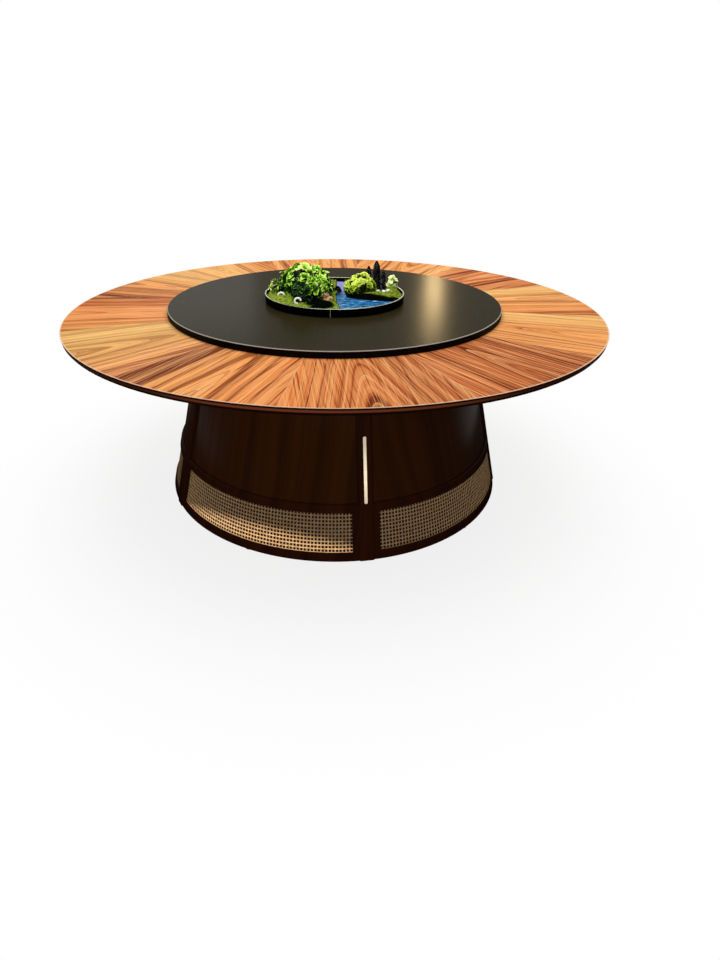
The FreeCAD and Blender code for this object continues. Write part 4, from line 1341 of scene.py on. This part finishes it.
moss_greens = (srgb(18, 28, 6), srgb(116, 140, 34), srgb(196, 214, 84))
grass_greens = (srgb(22, 38, 8), srgb(146, 174, 44), srgb(240, 248, 134))
ground_green("moss", *moss_greens, size=0.014, steep_shade_share=0.9)
ground_green("grass_blades", *grass_greens, size=0.012, steep_shade_share=0.4)

# %% [markdown]
# ## Moss banks
# A bank is its solid, remeshed and roughened at two sizes. Its top may rise and fall, but its sides may
# only draw in, because they stand against the tray and the water.

# %% Moss banks
cushion_size, cushion_depth = 0.018, 0.0022
tuft_size, tuft_depth = 0.006, 0.0011
side_clearance = 0.0016
bank_meshes = []
for side, lump in zip(("left", "right"), lumps_of("moss_banks")):
    bank = remeshed(f"moss_bank_{side}", *lump, 0.004, 4)
    points, normals = points_of(bank), normals_of(bank)
    push = cushion_depth * rough(points, cushion_size, seed=3) + tuft_depth * rough(points, tuft_size, seed=4)
    inwards = np.minimum(push - side_clearance, 0.0)
    outwards = np.where(normals[:, 2:] > 0.5, push[:, None], inwards[:, None])
    move_points(bank, points + normals * outwards)
    new_piece(f"moss_bank_{side}", bank, "moss", "tray", "moss", "moss_banks")
    bank_meshes.append(bank)

# %% [markdown]
# ## Grass
# Short grass covers the banks: a few thousand bent blades, made by the same leaf maker, very narrow and all
# in one mesh. They stand only where the bank faces up, and none reaches past the tray's wall. Hair would be
# easier to comb, but it isn't a mesh and would be lost from the finished model.

# %% Grass
grass_dice = np.random.default_rng(41)
blade_length = 0.0065
blades_per_bank = 5200
level_enough = 0.6
blade_lean = 0.45
roots, ways = [], []
for bank in bank_meshes:
    places, normals = scattered(bank, blades_per_bank, grass_dice)
    level = normals[:, 2] > level_enough
    roots.append(places[level])
    ways.append(unit(normals[level] + grass_dice.normal(0, blade_lean, (level.sum(), 3))))
roots, ways = np.concatenate(roots), np.concatenate(ways)
reach = np.hypot(roots[:, 0], roots[:, 1])
inner_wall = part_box("moss_banks")[1].x
kept = reach < inner_wall - blade_length / 2
roots, ways = roots[kept], ways[kept]
ups = np.cross(ways, unit(grass_dice.normal(0, 1, ways.shape)))
lengths = blade_length * grass_dice.uniform(0.5, 1.1, len(roots))
no_tints = np.zeros(len(roots))
blades = leaves(roots, ways, unit(ups), lengths, no_tints, width_share=0.09, curl=0.8, dice=grass_dice)
new_piece("grass", mesh_from("grass", *blades[:2]), "grass_blades", "tray", "moss")

# %% [markdown]
# ## Water
# The stream is clear resin over a painted bed, poured in ripples. A real layer of glass would need a bed
# under it and much more light; at this size an opaque blue with a smooth coat looks the same. Its ripples
# are real: the surface is remeshed and moved by noise that is drawn out across the stream.

# %% Water surface
ripple_stretch = (0.45, 1.0, 0.0)
surface_depth = 0.003
ripple_size, ripple_depth = 0.010, 0.0011
crinkle_size, crinkle_depth = 0.0045, 0.0006
water_lump = lumps_of("water")[0]
water_top = water_lump[0][:, 2].max()
water = remeshed("water_ripples", *water_lump, 0.003)
points = points_of(water)
stretched = points * np.array(ripple_stretch)
ripples = ripple_depth * rough(stretched, ripple_size, seed=7)
wave = ripples + crinkle_depth * rough(stretched, crinkle_size, seed=8)
upper = points[:, 2] > water_top - surface_depth
points[upper, 2] += wave[upper]
move_points(water, points)
print("ripples up to", round(1000 * float(np.abs(wave[upper]).max()), 2), "mm")

# %% [markdown]
# ## The look of water
# The blue is laid in streaks across the stream, deep in the troughs and pale on the crests, where the pale
# blue is a painted highlight, and turns lavender towards the back. The coat over it gives the wet shine.

# %% Material: water
streak_scale = (28.0, 90.0, 0.0)
lavender_from = 0.02
lavender_to = 0.14
tree, shader = finish("water_resin", Specular_IOR_Level=0.0, Coat_Weight=0.25, Coat_Roughness=0.08)
place = own_place(tree)
streaks = noise(tree, times(tree, place, streak_scale), 1.0, 3.0, 0.6)
colour = blend(tree, remap(tree, streaks, 0.38, 0.55), srgb(2, 30, 62), srgb(36, 112, 168))
# Painted highlight: the crests of the ripples are laid in pale blue.
colour = blend(tree, remap(tree, streaks, 0.56, 0.68), colour, srgb(156, 204, 234))
distance_back = add(tree, "ShaderNodeSeparateXYZ", {"Vector": place}).outputs["Y"]
far = remap(tree, distance_back, lavender_from, lavender_to)
colour = blend(tree, calc(tree, "MULTIPLY", far, 0.85), colour, srgb(150, 150, 206))
gloss = remap(tree, streaks, 0.3, 0.7, 0.08, 0.2)
wire(tree, shader, Base_Color=colour, Roughness=gloss, Normal=bumped(tree, streaks, 0.0006))
new_piece("water_ripples", water, "water_resin", "tray", "water_resin", "water")

# %% [markdown]
# ## The look of rock, stones and bark
# Slate, pebbles and bark are all two shades in patches with a fine grain; bark and slate have it drawn out
# upwards. The black slate gets painted glints: a narrow range of the grain is laid over it in near white,
# as highlights on its fresh breaks. Slate that glints gets no specular level, or its dark faces would turn
# grey.

# %% Material maker: stone
def stone(name, dark, light, size, gloss, relief, tall=1.0, glint=0.0):
    """Broken or worn stone in two shades; tall stretches its pattern upwards, glint paints highlights on it.
    """
    tree, shader = finish(name, Specular_IOR_Level=0.0 if glint else 0.1)
    place = own_place(tree)
    shaped = times(tree, place, (1 / size, 1 / size, 1 / size / tall))
    patches = noise(tree, shaped, 1.0, 5.0, 0.7)
    grain = noise(tree, shaped, 9.0, 3.0, 0.6)
    colour = blend(tree, remap(tree, patches, 0.4, 0.68), dark, light)
    colour = blend(tree, remap(tree, grain, 0.6, 0.8, 0.0, 0.5), colour, light)
    if glint:
        # Painted highlights: near-white glints on a narrow range of the grain.
        colour = blend(tree, remap(tree, grain, 0.62, 0.67, 0.0, glint), colour, srgb(226, 226, 230))
    roughness = remap(tree, grain, 0.3, 0.7, gloss + 0.1, gloss - 0.1)
    wire(tree, shader, Base_Color=colour, Roughness=roughness, Normal=bumped(tree, grain, relief))


# %% Materials: rock, stones and bark
rock_greys = (srgb(2, 2, 3), srgb(22, 20, 24))
stone("black_rock", *rock_greys, size=0.009, gloss=0.4, relief=0.0006, tall=2.5, glint=0.75)
stone("white_stone", srgb(236, 234, 226), srgb(255, 254, 250), size=0.02, gloss=0.35, relief=0.0002)
stone("warm_stone", srgb(76, 32, 14), srgb(232, 192, 140), size=0.01, gloss=0.5, relief=0.0005)
stone("bark", srgb(20, 14, 10), srgb(60, 42, 28), size=0.01, gloss=0.85, relief=0.001, tall=4.0)

# %% [markdown]
# ## Spires and trunk
# The black spires are broken slate: upright, splintered and blunt at the tip. Noise that is drawn out
# upwards cuts their ridges, and a finer one chips them. Only the tall ones are widened towards the top,
# because their solids end in a point. The trunk is cut by the same ridges, finer and deeper. The faces stay
# flat, so that edges are sharp.

# %% Craggy maker
ridge_stretch = (1.0, 1.0, 0.22)
chip_size_share = 0.7
chip_depth_share = 0.5
level_axes = np.array([1.0, 1.0, 0.0])


def craggy(name, lump, material_name, slot, node, *, voxel, depth, size, seed, widen=0.0):
    """A lump cut by upright ridges; widen makes its top broader, so that it ends bluntly."""
    mesh = remeshed(name, *lump, voxel, 1)
    points, normals = points_of(mesh), normals_of(mesh)
    ridges = np.abs(rough(points * np.array(ridge_stretch), size, seed))
    chips = np.abs(rough(points, size * chip_size_share, seed + 1))
    points = points - normals * level_axes * (depth * (ridges + chip_depth_share * chips))[:, None]
    low, high = points[:, 2].min(), points[:, 2].max()
    share = (points[:, 2] - low) / (high - low)
    foot, tip = points[share < 0.1].mean(axis=0), points[share > 0.95].mean(axis=0)
    axis = foot[None] + (tip - foot)[None] * share[:, None]
    stout = level_axes * (widen * share)[:, None]
    move_points(mesh, points + (points - axis) * stout)
    mesh.polygons.foreach_set("use_smooth", [False] * len(mesh.polygons))
    new_piece(name, mesh, material_name, "tray", slot, node)


# %% Spires, low rocks and trunk
spire_least_height = 0.05
spire_widening = 0.6
rock_cut = {"voxel": 0.0014, "depth": 0.0022, "size": 0.009}
for number, lump in enumerate(lumps_of("dark_rocks"), 1):
    widen = spire_widening if np.ptp(lump[0][:, 2]) > spire_least_height else 0.0
    name = f"dark_rock_{number}"
    craggy(name, lump, "black_rock", "black_rock", "dark_rocks", **rock_cut, seed=50 + number, widen=widen)
trunk_cut = {"voxel": 0.002, "depth": 0.003, "size": 0.008}
craggy("tree_trunk_bark", lumps_of("tree_trunk")[0], "bark", "bark", "tree_trunk", **trunk_cut, seed=61)

# %% [markdown]
# ## Stones
# Two white stones are curled like horns and polished, so they are remeshed finely and hardly dented. The
# rest are worn pebbles with shallow dents. The one on the left bank by the water is warm brown, and the
# chips among the dark rocks are white.

# %% Stones
dent_share = 0.12
polished_share = 0.2
for number, lump in enumerate(lumps_of("stones"), 1):
    width, depth, height = np.ptp(lump[0], axis=0)
    curled = depth < width / 2
    voxel, rounds, dented = (0.0009, 6, polished_share) if curled else (0.0015, 3, 1.0)
    mesh = remeshed(f"stone_{number}", *lump, voxel, rounds)
    points, normals = points_of(mesh), normals_of(mesh)
    dents = -dent_share * height * np.abs(rough(points, height / 2, 70 + number)) * dented
    move_points(mesh, points + normals * dents[:, None])
    warm = not curled and max(lump[0][:, :2].mean(axis=0)) < 0
    shade = "warm_stone" if warm else "white_stone"
    new_piece(f"stone_{number}", mesh, shade, "tray", "pale_stone", "stones")

# %% [markdown]
# ## Studio: what is seen and what lights
# The table is shown on white. The floor and the world are white for the camera, but light that bright would
# wash the table out, so the Light Path node tells apart what is seen from what falls on things, and only
# what is seen is white. Brighter lamps could whiten the floor as well, but would bleach the wood first.

# %% Seen rays helper
def seen_rays(tree):
    """Two masks: what the camera, a reflection or a clear material sees, and the last two of these alone."""
    rays = add(tree, "ShaderNodeLightPath").outputs
    mirrored = calc(tree, "MAXIMUM", rays["Is Glossy Ray"], rays["Is Transmission Ray"])
    return calc(tree, "MAXIMUM", rays["Is Camera Ray"], mirrored), mirrored


# %% [markdown]
# ## Floor
# The floor is a plain pale disc. Near the table it keeps the soft shadow, and further out it fades to
# white. What the glossy drum mirrors is set apart: there the floor is a darker grey, darker still in the
# shadow of the top, and beyond that shadow a ring of it glows white as a painted reflection, which gives
# the soft glow at the right edge of the drum, and a fainter one at the left. The ring glows for reflections
# only, and only at the table's sides, where the drum's edges mirror it. The light that bounces off the
# floor takes the darker grey too.

# %% Floor
floor_radius = 14.0
floor_sides = 48
clear_radius = 0.72
white_radius = 1.7
least_white = 0.85
lit_from = 1.3
lit_fully = 1.65
dim_from = 1.9
dim_fully = 2.8
dim_share = 0.3
side_start = math.radians(72)
side_end = math.radians(92)
left_share = 0.4
mesh = bmesh.new()
bmesh.ops.create_circle(mesh, cap_ends=True, segments=floor_sides, radius=floor_radius)
floor_mesh = bpy.data.meshes.new("studio_floor")
mesh.to_mesh(floor_mesh)
mesh.free()
floor = bpy.data.objects.new("studio_floor", floor_mesh)
bpy.context.scene.collection.objects.link(floor)
print("floor of radius", floor_radius, "m")

# %% Material: floor
tree, shader = finish("studio_floor", Roughness=0.9, Specular_IOR_Level=0.0)
round_place = use(tree, "round_place", Place=own_place(tree))
white = add(tree, "ShaderNodeEmission", {"Color": (1, 1, 1, 1), "Strength": 1.0}).outputs[0]
fade = remap(tree, round_place["Radius"], clear_radius, white_radius, least_white, 1.0)
seen, mirrored = seen_rays(tree)
by_camera = calc(tree, "SUBTRACT", seen, mirrored)
lit_ring = remap(tree, round_place["Radius"], lit_from, lit_fully)
right_side = remap(tree, round_place["Turn"], side_start, side_end)
left_side = remap(tree, round_place["Turn"], -side_start, -side_end, 0.0, left_share)
lit_ring = calc(tree, "MULTIPLY", lit_ring, calc(tree, "MAXIMUM", right_side, left_side))
beyond = remap(tree, round_place["Radius"], dim_from, dim_fully, 1.0, dim_share)
reflected = calc(tree, "MULTIPLY", mirrored, calc(tree, "MULTIPLY", lit_ring, beyond))
white_share = calc(tree, "ADD", calc(tree, "MULTIPLY", fade, by_camera), reflected)
mixed = add(tree, "ShaderNodeMixShader", {0: white_share, 1: shader.outputs[0], 2: white}).outputs[0]
tree.links.new(mixed, tree.nodes["Material Output"].inputs["Surface"])
# For all rays but the camera's the floor is a darker grey, so it lights the table less; the camera sees it
# pale.
wire(tree, shader, Base_Color=blend(tree, by_camera, srgb(124, 123, 121), srgb(246, 245, 243)))
floor_mesh.materials.append(bpy.data.materials["studio_floor"])

# %% [markdown]
# ## World
# The world is a plain white, at full strength where it is seen and low where it lights. A picture of a room
# would give richer reflections, but would tie the lesson to a file.

# %% World
world_level = 0.16
world = bpy.data.worlds.new("studio_white")
bpy.context.scene.world = world
world.use_nodes = True
tree = world.node_tree
background = tree.nodes["Background"].inputs
background["Color"].default_value = (1, 1, 1, 1)
level = remap(tree, seen_rays(tree)[0], 0.0, 1.0, world_level, 1.0, smooth=False)
tree.links.new(level, background["Strength"])
print("world lights at", world_level)

# %% [markdown]
# ## Lamps
# A large soft box overhead does most of the work. A small warm lamp high at the left is the key: it throws
# the shadow of the top across the woven cane. A tall warm one behind on the right stands for a lit doorway,
# whose reflection lies as a golden band on the turntable, and a weak one behind on the left for a window.
# Three more light one thing each from the front: the tray's landscape, the side of the drum and the brass
# strip. Each lamp is given by its turn and rise in degrees, its distance, width and height in metres and
# its power in watts.

# %% Lamp helper
def lamp(name, turn, rise, distance, width, height, power, colour=(1, 1, 1)):
    """An area light that faces the middle of the table top and that the camera can't see."""
    light = bpy.data.lights.new(name, "AREA")
    light.shape = "RECTANGLE"
    light.size, light.size_y = width, height
    light.energy = power
    light.color = colour
    holder = bpy.data.objects.new(name, light)
    bpy.context.scene.collection.objects.link(holder)
    turn, rise = math.radians(turn), math.radians(rise)
    back = Vector((math.sin(turn) * math.cos(rise), -math.cos(turn) * math.cos(rise), math.sin(rise)))
    holder.location = Vector((0, 0, wood_top)) + back * distance
    holder.rotation_mode = "QUATERNION"
    holder.rotation_quaternion = (-back).to_track_quat("-Z", "Y")
    holder.visible_camera = False
    print(name, "at", tuple(round(v, 2) for v in holder.location), "power", power)
    return holder


# %% Lamps
key = lamp("key_left", -32, 47, 5.0, 0.14, 0.14, 400, (1.0, 0.95, 0.87))
tray_lamp = lamp("tray_front", -40, 34, 3.5, 0.3, 0.3, 62)
front_lamp = lamp("drum_front", -20, 12, 3.6, 0.8, 0.8, 28)
strip_lamp = lamp("brass_front", 9.4, -21.6, 1.6, 0.4, 0.16, 0.54, (1.0, 0.95, 0.85))
lamp("overhead", 0, 88, 4.0, 5.0, 5.0, 202)
lamp("doorway", 154.8, 13.6, 3.78, 0.15, 0.46, 16, (1.0, 0.7, 0.33))
lamp("window", 192, 15, 4.2, 1.4, 0.8, 8)

# %% [markdown]
# ## What a lamp may light
# Light linking gives a lamp a collection, and the lamp lights only what is in it. So the key can be strong
# enough for a patch of sun on the cane of the left bay without burning the veneer, and the strip can shine
# on a drum that stays dark. A photographer does the same with flags and snoots; here one list each is
# enough.

# %% Light linking
def light_only(lamp_holder, pieces):
    """Lets a lamp light the given pieces and nothing else."""
    lit = bpy.data.collections.new(lamp_holder.name + "_lights")
    for piece in pieces:
        lit.objects.link(piece)
    lamp_holder.light_linking.receiver_collection = lit


right_bay, left_bay = woven_bays[0], woven_bays[-1]
drum_words = ("post_", "rail_", "panel_", "cane_", "lipping_")
drum_solids = [nodes[name] for name in nodes if any(word in name for word in drum_words)]
light_only(key, [left_bay])
light_only(front_lamp, [right_bay, left_bay, *drum_solids])
light_only(strip_lamp, [nodes["brass_strips"]])
light_only(tray_lamp, landscape_pieces)

# %% [markdown]
# ## Last steps
# Colours are shown by the Standard transform.

# %% Colour transform
bpy.context.scene.view_settings.view_transform = "Standard"
